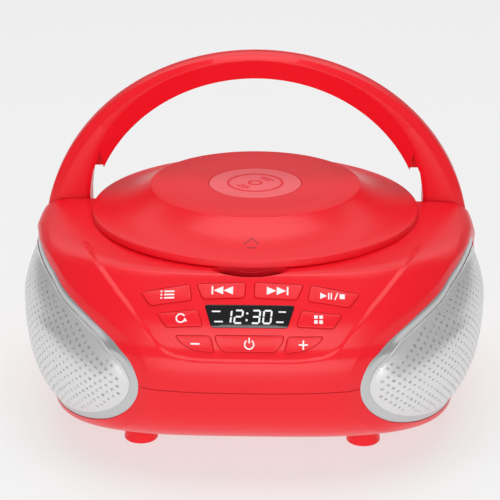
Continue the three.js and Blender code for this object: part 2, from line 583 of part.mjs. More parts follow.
// ---------------------------------------------------------------- sockets and electronics
function mainsInlet() {
  const s = REAR_SOCKETS.mains_inlet;
  const [w, h] = [s.width / 2, s.height / 2];
  const body = box(s.x - w, s.x + w, s.from + 2, 89, s.z - h, s.z + h);
  const lobes = [s.x - 4.3, s.x + 4.3];
  const mouth = join(
    ...lobes.map((x) => cylinder("y", 4.2, [x, s.z], 76, 95, 20)),
    box(...lobes, 76, 95, s.z - 3.2, s.z + 3.2));
  const contacts = lobes.map((x) => cylinder("y", 1.2, [x, s.z], 75.5, 86, 10));
  return join(cut(body, mouth), ...contacts);
}
function usbSocket() {
  const s = REAR_SOCKETS.usb_socket;
  const body = box(s.x - 8, s.x + 8, s.from + 2, 99.5, s.z - 4.5, s.z + 4.5);
  const mouth = box(s.x - 6.2, s.x + 6.2, 89, 105, s.z - 2.6, s.z + 2.6);
  return join(cut(body, mouth), box(s.x - 5.4, s.x + 5.4, 88.6, 97, s.z + 0.4, s.z + 1.6));
}
const jack = (x) => cut(
  cylinder("y", 5, [x, JACK_Z], 86, 99.5, 20), cylinder("y", 1.8, [x, JACK_Z], 88, 105, 16));
const circuitBoard = () => cut(
  box(-60, 60, 52, 84, 45.5, 47.1), ...[-56, 56].map((x) => cylinder("z", 1.6, [x, 80], 40, 50, 10)));
const transformer = () => join(box(-90, -60, 6, 32, 18, 44), box(-84, -66, 1.5, 36.5, 22, 40));
const contactPlate = (side) => {
  const [x0, x1] = side > 0 ? [BAY.x - 1, BAY.x - GAP] : [-BAY.x + GAP, -BAY.x + 1];
  return box(x0, x1, -12, 42, 15, 38);
};
const keyBoard = (plane, halfWidth, s0, s1, from) => panelPrism(
  plane, [[-halfWidth, s0], [halfWidth, s0], [halfWidth, s1], [-halfWidth, s1]], 0, from, from - 1.6);
const displayModule = () => panelPrism(
  UPPER, [[-17.5, -8], [17.5, -8], [17.5, 2], [-17.5, 2]], 0, 131.5, 124.8);

// ---------------------------------------------------------------- assembly
const boombox = new THREE.Group();
boombox.position.set(0, (CASE_FRONT - CASE_REAR) / 2, 0);

function add(name, manifold, finish) {
  const mesh = new THREE.Mesh(geometryOf(manifold), new THREE.MeshStandardMaterial(finish));
  mesh.name = name;
  boombox.add(mesh);
}

add("bottom_shell", bottomShell(), RED);
add("top_shell", topShell(), RED);
add("disc_tray", discTray(), BLACK);
for (const [side, label] of [[-1, "left"], [1, "right"]]) {
  add(`grille_${label}`, largest(grille(side)), SILVER);
  add(`speaker_basket_${label}`, speakerBasket(side), STEEL);
  add(`speaker_cone_${label}`, speakerCone(side), PAPER);
  add(`speaker_magnet_${label}`, speakerMagnet(side), GREY);
  add(`handle_pivot_${label}`, handlePivot(side), STEEL);
  add(`battery_contact_${label}`, contactPlate(side), STEEL);
}
for (const [x, y, label] of FEET) add(`foot_${label}`, foot([x, y]), RED);
SCREWS.forEach((place, i) => add(`case_screw_${i + 1}`, screw(place), STEEL));
add("battery_door", batteryDoor(), RED);

add("lid", lid(), RED);
add("lid_badge", lidBadge(), { ...RED, color: 0xef5a5f });
add("lid_plate", lidPlate(), GREY);
add("disc_clamper", clamper(), BLACK);
add("lid_hinge_pin", hingePin(), STEEL);

add("handle_front", handleFront(), RED);
add("handle_rear", largest(handleRear()), RED);

for (const [name, [plane, outline]] of Object.entries(KEYS)) {
  add(name, largest(keySkin.intersect(panelPrism(plane, outline))), RED);
}
add("display_window", largest(windowSkin.intersect(panelPrism(UPPER, WINDOW))), BLACK);
add("display_module", displayModule(), GREY);
add("key_board_upper", keyBoard(UPPER, 52, -20, 3, 124.2), BOARD);
add("key_board_lower", keyBoard(LOWER, 34, -41, -31, 119.6), BOARD);

add("disc_turntable", turntable(), BLACK);
add("spindle_motor", spindleMotor(), STEEL);
add("drive_chassis", chassis(), GREY);
add("pickup_sled", sled(), BLACK);
add("sled_rod_front", sledRod(-15), STEEL);
add("sled_rod_rear", sledRod(15), STEEL);

add("mains_inlet", mainsInlet(), BLACK);
add("usb_socket", usbSocket(), STEEL);
for (const [name, x] of Object.entries(JACKS)) add(name, jack(x), BLACK);
add("main_board", circuitBoard(), BOARD);
add("transformer", transformer(), GREY);

add("antenna_swivel", antennaSwivel(), STEEL);
add("antenna_outer_tube", rod(2.6, 2.1, ANTENNA_END, ANTENNA.x - 4.8), STEEL);
add("antenna_middle_tube", rod(1.8, 1.3, ANTENNA_END - 1, ANTENNA.x - 9.5), STEEL);
add("antenna_tip", antennaTip(), STEEL);

export default boombox;
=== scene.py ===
import json
import math

import bmesh
import bpy
import numpy as np
from mathutils import Matrix, Vector


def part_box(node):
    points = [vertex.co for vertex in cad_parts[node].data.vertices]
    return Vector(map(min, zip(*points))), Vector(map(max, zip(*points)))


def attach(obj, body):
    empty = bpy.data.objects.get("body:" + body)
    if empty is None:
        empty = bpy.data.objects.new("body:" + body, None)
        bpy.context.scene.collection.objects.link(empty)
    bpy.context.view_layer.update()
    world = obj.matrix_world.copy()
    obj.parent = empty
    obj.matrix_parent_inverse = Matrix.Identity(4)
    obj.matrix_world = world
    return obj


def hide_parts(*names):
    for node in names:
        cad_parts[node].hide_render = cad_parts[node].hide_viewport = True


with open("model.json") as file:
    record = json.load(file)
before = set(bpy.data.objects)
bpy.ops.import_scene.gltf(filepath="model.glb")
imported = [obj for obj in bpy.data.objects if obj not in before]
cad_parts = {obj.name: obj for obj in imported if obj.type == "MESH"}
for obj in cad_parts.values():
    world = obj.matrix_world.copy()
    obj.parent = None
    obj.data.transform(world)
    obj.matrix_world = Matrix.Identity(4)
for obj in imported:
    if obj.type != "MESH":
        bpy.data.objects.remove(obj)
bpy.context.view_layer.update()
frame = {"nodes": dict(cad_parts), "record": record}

# Everything below is drawn in millimetres around the disc axis, like the CAD source, and is
# scaled and shifted into the frame when a piece is finished.
MM = 0.001
badge_low, badge_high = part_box("lid_badge")
AXIS_Y = (badge_low.y + badge_high.y) / 2  # the disc axis, in metres
UNDERSIDE, SEAM = (corner.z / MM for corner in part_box("bottom_shell"))  # of the bottom case half
lid_low, lid_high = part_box("lid")
LID_R = (lid_high.x - lid_low.x) / 2 / MM

# ------------------------------------------------------------------ case outline
# Height, reach to the front, half width, reach to the rear, and the power of the superellipse.
COL_FRONT, COL_HALF, COL_REAR, COL_POWER = 1, 2, 3, 4
LEVELS = np.array([
    (9, 66, 100.5, 74, 3.9), (11, 74, 101.8, 82, 3.8), (15, 87, 105, 90, 3.6), (22, 101.5, 108.8, 97, 3.3),
    (30, 110.5, 113.3, 101, 3), (40, 116, 116.6, 103.5, 2.75), (52, 118, 118.7, 104, 2.7),
    (60, 117.4, 119.5, 104, 2.7), (67.5, 115.2, 119.8, 103.7, 2.7), (73, 111.8, 119.7, 103, 2.7),
    (80, 109.3, 119, 102, 2.7), (86, 106.2, 118.2, 101, 2.7), (93, 100.8, 116.9, 99, 2.7),
    (100, 95, 114.3, 96, 2.7), (103, 92.6, 110.5, 94, 2.7), (104.5, 91, 106, 92, 2.7),
    (105.2, 88.6, 99, 89, 2.7), (105.4, 86, 92, 86, 2.7),
], float)
CASE_LOW, CASE_HIGH = LEVELS[0, 0], LEVELS[-1, 0]
SLOPES = np.empty_like(LEVELS)
SLOPES[1:-1] = (LEVELS[2:] - LEVELS[:-2]) / (LEVELS[2:, :1] - LEVELS[:-2, :1])
SLOPES[0] = (LEVELS[1] - LEVELS[0]) / (LEVELS[1, 0] - LEVELS[0, 0])
SLOPES[-1] = (LEVELS[-1] - LEVELS[-2]) / (LEVELS[-1, 0] - LEVELS[-2, 0])


def level_value(column, z):
    """One column of the table at a height, on a smooth cubic between its rows."""
    i = np.clip(np.searchsorted(LEVELS[:, 0], z) - 1, 0, len(LEVELS) - 2)
    h = LEVELS[i + 1, 0] - LEVELS[i, 0]
    t = np.clip((z - LEVELS[i, 0]) / h, 0, 1)
    return ((2 * t**3 - 3 * t**2 + 1) * LEVELS[i, column]
            + (t**3 - 2 * t**2 + t) * h * SLOPES[i, column]
            + (3 * t**2 - 2 * t**3) * LEVELS[i + 1, column]
            + (t**3 - t**2) * h * SLOPES[i + 1, column])


def case_base(phi, z, front=0.0, side=0.0, rear=0.0):
    """The plain case surface at an angle and a height, set in by different amounts."""
    c, s = np.cos(phi), np.sin(phi)
    half = level_value(COL_HALF, z) - side
    reach = np.where(s < 0, level_value(COL_FRONT, z) - front, level_value(COL_REAR, z) - rear)
    power = level_value(COL_POWER, z)
    r = ((np.abs(c) / half) ** power + (np.abs(s) / reach) ** power) ** (-1 / power)
    return np.stack([r * c, r * s, z + 0 * phi], -1)


def normals_of(surface, phi, z):
    """Outward normals of a surface given as surface(phi, z)."""
    d_phi, d_z = 2e-4, 2e-2
    z_low, z_high = np.maximum(z - d_z, CASE_LOW), np.minimum(z + d_z, CASE_HIGH)
    along = surface(phi + d_phi, z) - surface(phi - d_phi, z)
    up = surface(phi, z_high) - surface(phi, z_low)
    n = np.cross(along, up)
    return n / np.maximum(np.linalg.norm(n, axis=-1, keepdims=True), 1e-12)


# ------------------------------------------------------------------ outline fields
def catmull_rom(a, b, c, d, t):
    """Point at t on the way from b to c, on the curve through all four."""
    return 0.5 * (2 * b + (c - a) * t + (2 * a - 5 * b + 4 * c - d) * t**2
                  + (3 * b - a - 3 * c + d) * t**3)


def smooth_loop(points, steps):
    """Closed Catmull-Rom loop through points."""
    p = np.array(points, float)
    out = []
    for i in range(len(p)):
        corners = p[i - 1], p[i], p[(i + 1) % len(p)], p[(i + 2) % len(p)]
        out += [catmull_rom(*corners, t) for t in np.arange(steps) / steps]
    return np.array(out)


class Field:
    """Distance to a closed outline, positive inside, kept on a grid."""

    STEP = 0.5

    def __init__(self, outline, margin=16):
        self.low = outline.min(0) - margin
        size = np.ceil((outline.max(0) + margin - self.low) / self.STEP).astype(int) + 1
        u = self.low[0] + np.arange(size[0]) * self.STEP
        v = self.low[1] + np.arange(size[1]) * self.STEP
        uu, vv = np.meshgrid(u, v, indexing="ij")
        best = np.full(uu.shape, 1e9)
        inside = np.zeros(uu.shape, bool)
        for (ax, ay), (bx, by) in zip(outline, np.roll(outline, -1, 0)):
            ex, ey = bx - ax, by - ay
            t = np.clip(((uu - ax) * ex + (vv - ay) * ey) / (ex * ex + ey * ey + 1e-12), 0, 1)
            best = np.minimum(best, (uu - ax - t * ex) ** 2 + (vv - ay - t * ey) ** 2)
            crosses = (ay > vv) != (by > vv)
            inside ^= crosses & (uu < ax + (vv - ay) * ex / (ey if abs(ey) > 1e-9 else 1e-9))
        self.grid = np.sqrt(best) * np.where(inside, 1, -1)

    def __call__(self, u, v):
        a = np.clip((u - self.low[0]) / self.STEP, 0, self.grid.shape[0] - 1.001)
        b = np.clip((v - self.low[1]) / self.STEP, 0, self.grid.shape[1] - 1.001)
        i, j = a.astype(int), b.astype(int)
        a, b = a - i, b - j
        g = self.grid
        near = g[i, j] * (1 - a) + g[i + 1, j] * a
        far = g[i, j + 1] * (1 - a) + g[i + 1, j + 1] * a
        return near * (1 - b) + far * b


def ease(t):
    """Smooth step from 0 to 1."""
    t = np.clip(t, 0, 1)
    return t * t * (3 - 2 * t)


# The direction that the right speaker faces, and the teardrop of its grille seen along it:
# across to the front, and height.
SPEAKER = np.array([0.82, -0.57]) / math.hypot(0.82, 0.57)
GRILLE_OUTLINE = smooth_loop([
    (59.8, 52), (58.7, 58.2), (54.7, 64.8), (47.1, 70.4), (35, 78), (22.9, 83.8), (6.8, 89.7), (-8.2, 95.4),
    (-33.7, 99.2), (-58, 95.2), (-80, 80.5), (-91, 60), (-82, 38), (-55, 24), (-20, 20.5), (13, 21.2),
    (36.7, 27.3), (50.3, 35.3), (57.5, 44)], 8)
grille_field = Field(GRILLE_OUTLINE)


def grille_uv(p):
    """Across and up in the grille's own plane, for either side."""
    return np.abs(p[..., 0]) * SPEAKER[1] - p[..., 1] * SPEAKER[0], p[..., 2]


# Recessed control panel: half of its outline, across and down, as seen square to a 45 degree slope.
PANEL_HALF = [
    (91.6, -78.4), (88.6, -59.2), (86.1, -44), (83.4, -31.6), (79, -20.9), (74.5, -13), (69.2, -5.2),
    (65.1, 0.7), (60, 7.5), (56, 13.8), (50.1, 20.6), (44.7, 27.2), (41, 30.1), (36.9, 32.3), (31.6, 33.6),
    (23.5, 34.7), (13.5, 35.1),
]
PANEL_OUTLINE = np.array(PANEL_HALF + [(-x, t) for x, t in reversed(PANEL_HALF)], float)
PANEL_OUTLINE = np.concatenate([PANEL_OUTLINE, [(-90, -110), (90, -110)]])
panel_field = Field(PANEL_OUTLINE)
PANEL_DROP = 0.9  # depth of the recess
PANEL_EDGE = 2.3  # width of its rounded edge
PANEL_END, PANEL_FADE = 60, 20  # it is level with the case at this y, and fades over this length
FACET_DROP = 2.1  # depth of the chamfer at the edge of a grille
FACET_WIDTH, FACET_WIDER = 4.5, 2  # its width at the rear, and what the front end has more
GRILLE_X = 20  # nothing nearer the middle than this belongs to a grille


def panel_depth(p):
    """How far the recessed control panel sinks the case surface at points of it."""
    inside = panel_field(p[..., 0], -0.71 * p[..., 1] - 0.7 * p[..., 2])
    return PANEL_DROP * ease(inside / PANEL_EDGE) * ease((PANEL_END - p[..., 1]) / PANEL_FADE)


def facet_depth(p):
    """The chamfer that leads from the case down to the edge of a grille."""
    u, v = grille_uv(p)
    outside = -grille_field(u, v)
    facing = np.where(np.abs(p[..., 0]) > GRILLE_X, 1.0, 0.0)
    width = FACET_WIDTH + FACET_WIDER * ease((u + 10) / 70)
    return facing * FACET_DROP * np.clip(1 - outside / width, 0, 1)


def case_surface(phi, z):
    """The case skin with its recessed panel and the chamfers round the grilles."""
    base = case_base(phi, z)
    sink = np.maximum(panel_depth(base), facet_depth(base))
    return base - sink[..., None] * normals_of(case_base, phi, z)


# ------------------------------------------------------------------ mesh helpers
SKIN_MARK = 100  # added to phi and z in the uv layer, which is 0 on loops that aren't of the skin


def new_object(name, verts, faces, uv=None):
    """Mesh object in the scene; uv holds a marked phi and z for each vertex of a case skin."""
    mesh = bpy.data.meshes.new(name)
    mesh.from_pydata(np.asarray(verts, float).tolist(), [], [list(map(int, f)) for f in faces])
    if uv is not None:
        layer = mesh.uv_layers.new(name="skin")
        loops = np.empty(len(mesh.loops), int)
        mesh.loops.foreach_get("vertex_index", loops)
        layer.data.foreach_set("uv", uv[loops].astype(np.float32).ravel())
    ob = bpy.data.objects.new(name, mesh)
    bpy.context.scene.collection.objects.link(ob)
    return ob


def remove(ob):
    mesh = ob.data
    bpy.data.objects.remove(ob)
    bpy.data.meshes.remove(mesh)


def combine(target, others, operation="DIFFERENCE"):
    """Applies boolean steps with other solids, which are used up."""
    for other in others:
        modifier = target.modifiers.new("step", "BOOLEAN")
        modifier.operation = operation
        modifier.solver = "MANIFOLD"
        modifier.object = other
    result = bpy.data.meshes.new_from_object(target.evaluated_get(bpy.context.evaluated_depsgraph_get()))
    target.modifiers.clear()
    old, target.data = target.data, result
    bpy.data.meshes.remove(old)
    for other in others:
        remove(other)
    return target


def box(x0, x1, y0, y1, z0, z1):
    """Solid block between two corners."""
    corners = [(x, y, z) for x in (x0, x1) for y in (y0, y1) for z in (z0, z1)]
    faces = [(0, 1, 3, 2), (4, 6, 7, 5), (0, 4, 5, 1), (2, 3, 7, 6), (0, 2, 6, 4), (1, 5, 7, 3)]
    return new_object("box", corners, faces)


def tube_faces(rings, count, closed=False):
    """Quads between rings of count points each; closed joins the last ring to the first."""
    faces = []
    for r in range(rings if closed else rings - 1):
        for i in range(count):
            j, s = (i + 1) % count, (r + 1) % rings
            faces.append((r * count + i, r * count + j, s * count + j, s * count + i))
    return faces


def loft(name, rings, uv=None):
    """Closed solid through rings of equal count, capped at both ends."""
    rings = np.asarray(rings, float)
    layers, count = rings.shape[:2]
    faces = tube_faces(layers, count)
    faces.append(tuple(reversed(range(count))))
    faces.append(tuple(range((layers - 1) * count, layers * count)))
    return new_object(name, rings.reshape(-1, 3), faces, uv)


def turned(name, profile, steps=96):
    """Solid of revolution about Z through (radius, height) points; ends on the axis are closed."""
    profile = [tuple(map(float, p)) for p in profile]
    angle = np.arange(steps) * 2 * np.pi / steps
    verts, rows, faces = [], [], []
    for r, z in profile:
        if r < 1e-6:
            rows.append([len(verts)])
            verts.append((0, 0, z))
        else:
            rows.append(list(range(len(verts), len(verts) + steps)))
            verts.extend(zip(r * np.cos(angle), r * np.sin(angle), np.full(steps, z)))
    pairs = list(zip(rows, rows[1:]))
    if len(rows[0]) > 1:
        pairs.append((rows[-1], rows[0]))
    for a, b in pairs:
        for i in range(steps):
            j = (i + 1) % steps
            if len(a) == 1 and len(b) == 1:
                break
            if len(a) == 1:
                faces.append((a[0], b[j], b[i]))
            elif len(b) == 1:
                faces.append((a[i], a[j], b[0]))
            else:
                faces.append((a[i], a[j], b[j], b[i]))
    area = sum(p[0] * q[1] - q[0] * p[1] for p, q in zip(profile, profile[1:] + profile[:1]))
    if area < 0:
        faces = [tuple(reversed(f)) for f in faces]
    return new_object(name, verts, faces)


def cylinder(axis, r, centre, start, end, steps=32):
    """Solid rod along x, y or z; centre holds its other two coordinates."""
    angle = np.arange(steps) * 2 * np.pi / steps
    a, b = centre[0] + r * np.cos(angle), centre[1] + r * np.sin(angle)
    rings = []
    for end_at in (start, end):
        t = np.full(steps, float(end_at))
        rings.append(np.stack({"x": (t, a, b), "y": (a, t, b), "z": (a, b, t)}[axis], -1))
    if axis == "y":
        rings = [ring[::-1] for ring in rings]
    return loft("cylinder", rings)


def rods(axis, r, centre, spans, steps=32):
    """Cylinders on one axis, one for each (start, end)."""
    return [cylinder(axis, r, centre, start, end, steps) for start, end in spans]


def make_outward(ob):
    """Turns the faces outwards if the volume came out negative."""
    work = bmesh.new()
    work.from_mesh(ob.data)
    if work.calc_volume(signed=True) < 0:
        bmesh.ops.reverse_faces(work, faces=work.faces)
        work.to_mesh(ob.data)
    work.free()
    return ob


def signed_area(loop):
    """Twice the area inside an outline, positive when it runs counter-clockwise."""
    ahead = np.roll(loop, -1, 0)
    return np.sum(loop[:, 0] * ahead[:, 1] - ahead[:, 0] * loop[:, 1])


def prism(outline, basis, start, depth):
    """Solid from an outline in the first two axes of basis, swept along the third from start."""
    ex, ey, ez = (np.array(v, float) for v in basis)
    outline = np.asarray(outline, float)
    if signed_area(outline) * np.dot(np.cross(ex, ey), ez) < 0:
        outline = outline[::-1]
    flat = outline[:, :1] * ex + outline[:, 1:] * ey
    return loft("prism", [flat + start * ez, flat + (start + depth) * ez])


def finish(ob, name, body, material, replaced=(), surface=None, angle=35):
    """Smooths, scales into the frame, paints and attaches a finished piece."""
    mesh = ob.data
    mesh.shade_smooth()
    mesh.set_sharp_from_angle(angle=math.radians(angle))
    if surface is not None:
        use_surface_normals(mesh, surface)
    while mesh.uv_layers:
        mesh.uv_layers.remove(mesh.uv_layers[0])
    mesh.transform(Matrix.Translation((0, AXIS_Y, 0)) @ Matrix.Scale(MM, 4))
    mesh.materials.clear()
    mesh.materials.append(material)
    ob.name = mesh.name = name
    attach(ob, body)
    if replaced:
        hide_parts(*replaced)
    return ob


def use_surface_normals(mesh, surface):
    """Gives the loops of the skin the true normals of the surface they were sampled from."""
    count = len(mesh.loops)
    normals = np.empty(count * 3, np.float32)
    mesh.corner_normals.foreach_get("vector", normals)
    normals = normals.reshape(-1, 3)
    uv = np.empty(count * 2, np.float32)
    mesh.uv_layers["skin"].data.foreach_get("uv", uv)
    uv = uv.reshape(-1, 2).astype(float)
    face_normals = np.empty(len(mesh.polygons) * 3, np.float32)
    mesh.polygons.foreach_get("normal", face_normals)
    sizes = np.empty(len(mesh.polygons), int)
    mesh.polygons.foreach_get("loop_total", sizes)
    face_normals = np.repeat(face_normals.reshape(-1, 3), sizes, axis=0)
    skin = uv[:, 0] > SKIN_MARK / 2
    phi, z = uv[skin, 0] - SKIN_MARK, uv[skin, 1] - SKIN_MARK
    true = normals_of(surface, phi, z)
    facing = np.sum(true * face_normals[skin], -1) > 0.8  # leaves out the walls of cuts
    chosen = normals[skin]
    chosen[facing] = true[facing]
    normals[skin] = chosen
    mesh.normals_split_custom_set(normals.tolist())


# ------------------------------------------------------------------ materials
MOTTLE_SCALE = 14  # of the broad noise, per metre
UNEVEN = 0.12  # share by which the gloss varies
GRAIN_DEPTH = 0.00005  # in metres


def make_material(name, color, roughness, metallic=0.0, coat=0.0, grain=0.0, grain_scale=900.0,
                  mottle=0.03, edge=0.0, sheen=0.0, scratches=False, specular=0.5, glow=0.0):
    """Procedural finish: slight colour mottling, uneven gloss, fine surface grain and softened edges."""
    material = bpy.data.materials.new(name)
    material.use_nodes = True
    tree = material.node_tree
    shader = tree.nodes["Principled BSDF"]
    add, link = tree.nodes.new, tree.links.new
    place = add("ShaderNodeTexCoord")

    def noise(scale, detail):
        node = add("ShaderNodeTexNoise")
        node.inputs["Scale"].default_value = scale
        node.inputs["Detail"].default_value = detail
        link(place.outputs["Object"], node.inputs["Vector"])
        return node

    broad, fine = noise(MOTTLE_SCALE, 4), noise(grain_scale, 2)
    tint = add("ShaderNodeMixRGB")
    tint.inputs["Color1"].default_value = (*[c * (1 - mottle) for c in color], 1)
    tint.inputs["Color2"].default_value = (*[min(c * (1 + mottle), 1) for c in color], 1)
    link(broad.outputs["Fac"], tint.inputs["Fac"])
    link(tint.outputs["Color"], shader.inputs["Base Color"])
    gloss = add("ShaderNodeMapRange")
    gloss.inputs["To Min"].default_value = roughness * (1 - UNEVEN)
    gloss.inputs["To Max"].default_value = roughness * (1 + UNEVEN)
    if scratches:
        stretch = add("ShaderNodeMapping")
        stretch.inputs["Scale"].default_value = (0.02, 1, 1)
        link(place.outputs["Object"], stretch.inputs["Vector"])
        link(stretch.outputs["Vector"], fine.inputs["Vector"])
    link(fine.outputs["Fac"], gloss.inputs["Value"])
    link(gloss.outputs["Result"], shader.inputs["Roughness"])
    normal = None
    if edge:
        rounded = add("ShaderNodeBevel")
        rounded.samples = 4
        rounded.inputs["Radius"].default_value = edge * MM
        normal = rounded.outputs["Normal"]
    if grain:
        bump = add("ShaderNodeBump")
        bump.inputs["Strength"].default_value = grain
        bump.inputs["Distance"].default_value = GRAIN_DEPTH
        link(fine.outputs["Fac"], bump.inputs["Height"])
        if normal:
            link(normal, bump.inputs["Normal"])
        normal = bump.outputs["Normal"]
    if normal:
        link(normal, shader.inputs["Normal"])
    settings = {
        "Specular IOR Level": specular, "Metallic": metallic, "Coat Weight": coat, "Coat Roughness": 0.12,
        "Sheen Weight": sheen, "Emission Color": (*color, 1), "Emission Strength": glow}
    for setting, value in settings.items():
        shader.inputs[setting].default_value = value
    return material


SHELL_RED = (0.90, 0.008, 0.020)
NEAR_BLACK = (0.012, 0.012, 0.013)
RED = make_material("red_plastic", SHELL_RED, 0.33, coat=0.05, grain=0.1, edge=0.45, specular=0.36)
RED_KEY = make_material("red_key", SHELL_RED, 0.33, coat=0.05, grain=0.1, edge=0.25, specular=0.36)
BADGE_RED = make_material("badge_red", (0.95, 0.13, 0.15), 0.4, grain=0.1)
SILVER = make_material("silver_paint", (0.78, 0.78, 0.785), 0.33, metallic=0.6, grain=0.12)
STEEL = make_material("bright_steel", (0.62, 0.63, 0.65), 0.26, metallic=1, scratches=True, grain=0.1)
BLACK = make_material("black_plastic", NEAR_BLACK, 0.42, grain=0.3)
GREY = make_material("grey_plastic", (0.16, 0.16, 0.17), 0.5, grain=0.3)
GLASS = make_material("display_black", (0.004, 0.004, 0.005), 0.12, coat=0.8)
BOARD = make_material("board_green", (0.02, 0.16, 0.06), 0.5, grain=0.2, mottle=0.12)
PAPER = make_material("cone_paper", (0.02, 0.02, 0.022), 0.85, grain=0.5, grain_scale=500, sheen=0.2)
FERRITE = make_material("ferrite", (0.04, 0.04, 0.043), 0.6, grain=0.4)
# The rim's silver is darker than the grille's silver paint: painted shade for its hollow.
SHADED_RIM_SILVER = make_material("rim_silver_painted_shade", (0.60, 0.605, 0.61), 0.3, metallic=0.7, grain=0.08)
CLOTH = make_material("speaker_cloth", NEAR_BLACK, 0.9, grain=0.6, grain_scale=1500)
DARK_RED = make_material("mark_red", (0.34, 0.006, 0.012), 0.45, grain=0.1)
LIT = make_material("display_lit", (0.95, 0.97, 1.0), 0.4)
WHITE = make_material("legend_white", (0.92, 0.92, 0.92), 0.4, grain=0.05)

# ------------------------------------------------------------------ case
PHI = np.concatenate([
    np.linspace(-math.pi, 0, 620, endpoint=False), np.linspace(0, math.pi, 150, endpoint=False)])
GAP = 0.3  # between neighbouring parts
WALL = 2.5
DECK_Z = 76  # deck behind the lid, which the handle folds down onto
SHOULDER_Y = 17.8  # face that the handle stops against
FAR = 135  # beyond the case on every side
PIVOT = (28, 86)  # y and z of the handle's axis
PIVOT_R = 4.3
EAR_R = 11.5  # ears of the case on either side of a handle leg
LEG_IN, LEG_OUT = 89.6, 113.8  # inner and outer face of a leg
HINGE = (83, 101)  # y and z of the lid's axis
PIN_R = 1.8  # hinge pin and screw shanks
PIN_END = 31
LUG_R, LUG_SPANS = 3.6, ((20.5, 29), (-29, -20.5))  # the case's lugs for the hinge pin
ARM_R, ARM_SPANS = 3.4, ((13, 20), (-20, -13))  # the lid's arms between them
SCREWS = [(30, -60), (-30, -60), (70, 62), (-70, 62)]
BOSS_R, POST_R, HEAD_R = 4.6, 5.6, 3.7  # boss above, post below, and room for the screw's head
WELL_R, WELL_Z = 64, 90  # room of a disc
RING_R, RING_Z = 79, 98  # step round it, under the lid
TRAY_R, TRAY_Z, TRAY_RING_Z = 66.8, 87.2, 95.2  # what the disc tray fills
OVER_Z = 125  # above the case
CAVITY_INSET = (4.6, 2.6, 2.5)  # front, sides and rear
BAY_X, BAY_FRONT, BAY_REAR, BAY_TOP, BAY_WALL = 54, -15, 45, 40, 2  # battery bay
JACKS, JACK_R = [(10, 34), (30, 34)], 5.3  # x and z
AERIAL, AERIAL_R = (62, 66), 4.5  # x and z
FINGER_AT, FINGER_SIZE = (0, -86, 105), (19, 6.3, 5.2)  # dip for a fingertip at the front of the lid
EX = np.array([1.0, 0, 0])


def skin_loft(name, heights, surface=case_surface, phi=PHI):
    """Solid inside a surface(phi, z), between the first and the last height."""
    phi_grid, z_grid = np.meshgrid(phi, np.array(heights, float))
    uv = np.stack([phi_grid + SKIN_MARK, z_grid + SKIN_MARK], -1).reshape(-1, 2)
    return loft(name, surface(phi_grid, z_grid), uv)


def inner_solid(heights):
    """The space inside the case walls."""
    def surface(phi, z):
        return case_base(phi, z, *CAVITY_INSET)
    return skin_loft("inner", heights, surface, np.linspace(-math.pi, math.pi, 90, endpoint=False))


def stepped_well(inner_r, floor_z, outer_r, ring_z):
    """Round space with a step, open at the top."""
    return turned("well", [(0, floor_z), (inner_r, floor_z), (inner_r, ring_z), (outer_r, ring_z),
                           (outer_r, OVER_Z), (0, OVER_Z)])


def deck_space(grow):
    """The space over the deck, round the lid, with the ears that the legs turn between left in it."""
    space = box(-FAR, FAR, SHOULDER_Y - grow, FAR, DECK_Z - grow, FAR)
    combine(space, [cylinder("z", LID_R + GAP - grow, (0, 0), 40, 140, 160)])
    if grow == 0:
        ears = []
        for inner, outer in ((LEG_OUT + 0.5, 130), (78, LEG_IN - 0.4)):
            for x0, x1 in ((inner, outer), (-outer, -inner)):
                ears.append(cylinder("x", EAR_R, PIVOT, x0, x1, 64))
                ears.append(box(x0, x1, SHOULDER_Y - 1, PIVOT[0] + EAR_R, DECK_Z - 1, PIVOT[1]))
        combine(space, ears)
    return space


def ledge(grow):
    """The step along the rear edge, which the folded aerial lies on."""
    return box(-76 - grow, 72 + grow, 93.5 - grow, 120, 61.5 - grow, 130)


def grille_prism(side, grow=0.0, start=60.0, depth=90.0):
    """The outline of a grille, swept out along its speaker's direction; side is -1 or 1."""
    outline = offset_loop(GRILLE_OUTLINE, grow)
    across = (side * SPEAKER[1], -SPEAKER[0], 0)
    out = (side * SPEAKER[0], SPEAKER[1], 0)
    return prism(outline, (across, (0, 0, 1), out), start, depth)


def plane(out):
    """A tilted plane through the disc axis: its normal, and the direction down it."""
    n = np.array(out, float) / np.linalg.norm(out)
    return n, np.cross(-n, EX)


UPPER = plane((0, -0.78, 0.625))
LOWER = plane((0, -0.949, 0.316))


def project(panel, points):
    """Points of the recessed panel under (across, down the slope) places."""
    n, down = panel
    points = np.array(points, float)
    aim = points.copy()
    for _ in range(3):  # the recess moves each point along the skin, so the aim is corrected
        flat = aim[:, :1] * EX + aim[:, 1:] * down
        low, high = np.full(len(aim), 60.0), np.full(len(aim), 160.0)
        for _ in range(30):  # halves the span until the skin is found
            mid = (low + high) / 2
            p = flat + mid[:, None] * n
            phi = np.arctan2(p[:, 1], p[:, 0])
            s = case_base(phi, np.clip(p[:, 2], CASE_LOW, CASE_HIGH))
            inside = (np.hypot(p[:, 0], p[:, 1]) < np.hypot(s[:, 0], s[:, 1])) & (p[:, 2] < CASE_HIGH)
            low, high = np.where(inside, mid, low), np.where(inside, high, mid)
        p = flat + low[:, None] * n
        z = np.clip(p[:, 2], CASE_LOW, CASE_HIGH - 0.1)
        p = p - PANEL_DROP * normals_of(case_base, np.arctan2(p[:, 1], p[:, 0]), z)
        aim += points - np.stack([p[:, 0], p @ down], -1)
    return p


def rounded(outline, radius, steps=5):
    """Outline with its corners turned into arcs."""
    p = np.array(outline, float)
    out = []
    for i in range(len(p)):
        a, b, c = p[i - 1], p[i], p[(i + 1) % len(p)]
        u, v = (a - b) / np.linalg.norm(a - b), (c - b) / np.linalg.norm(c - b)
        reach = min(radius, 0.45 * np.linalg.norm(a - b), 0.45 * np.linalg.norm(c - b))
        for t in np.linspace(0, 1, steps):
            out.append(b + u * reach * (1 - t) ** 2 + v * reach * t**2)
    return np.array(out)


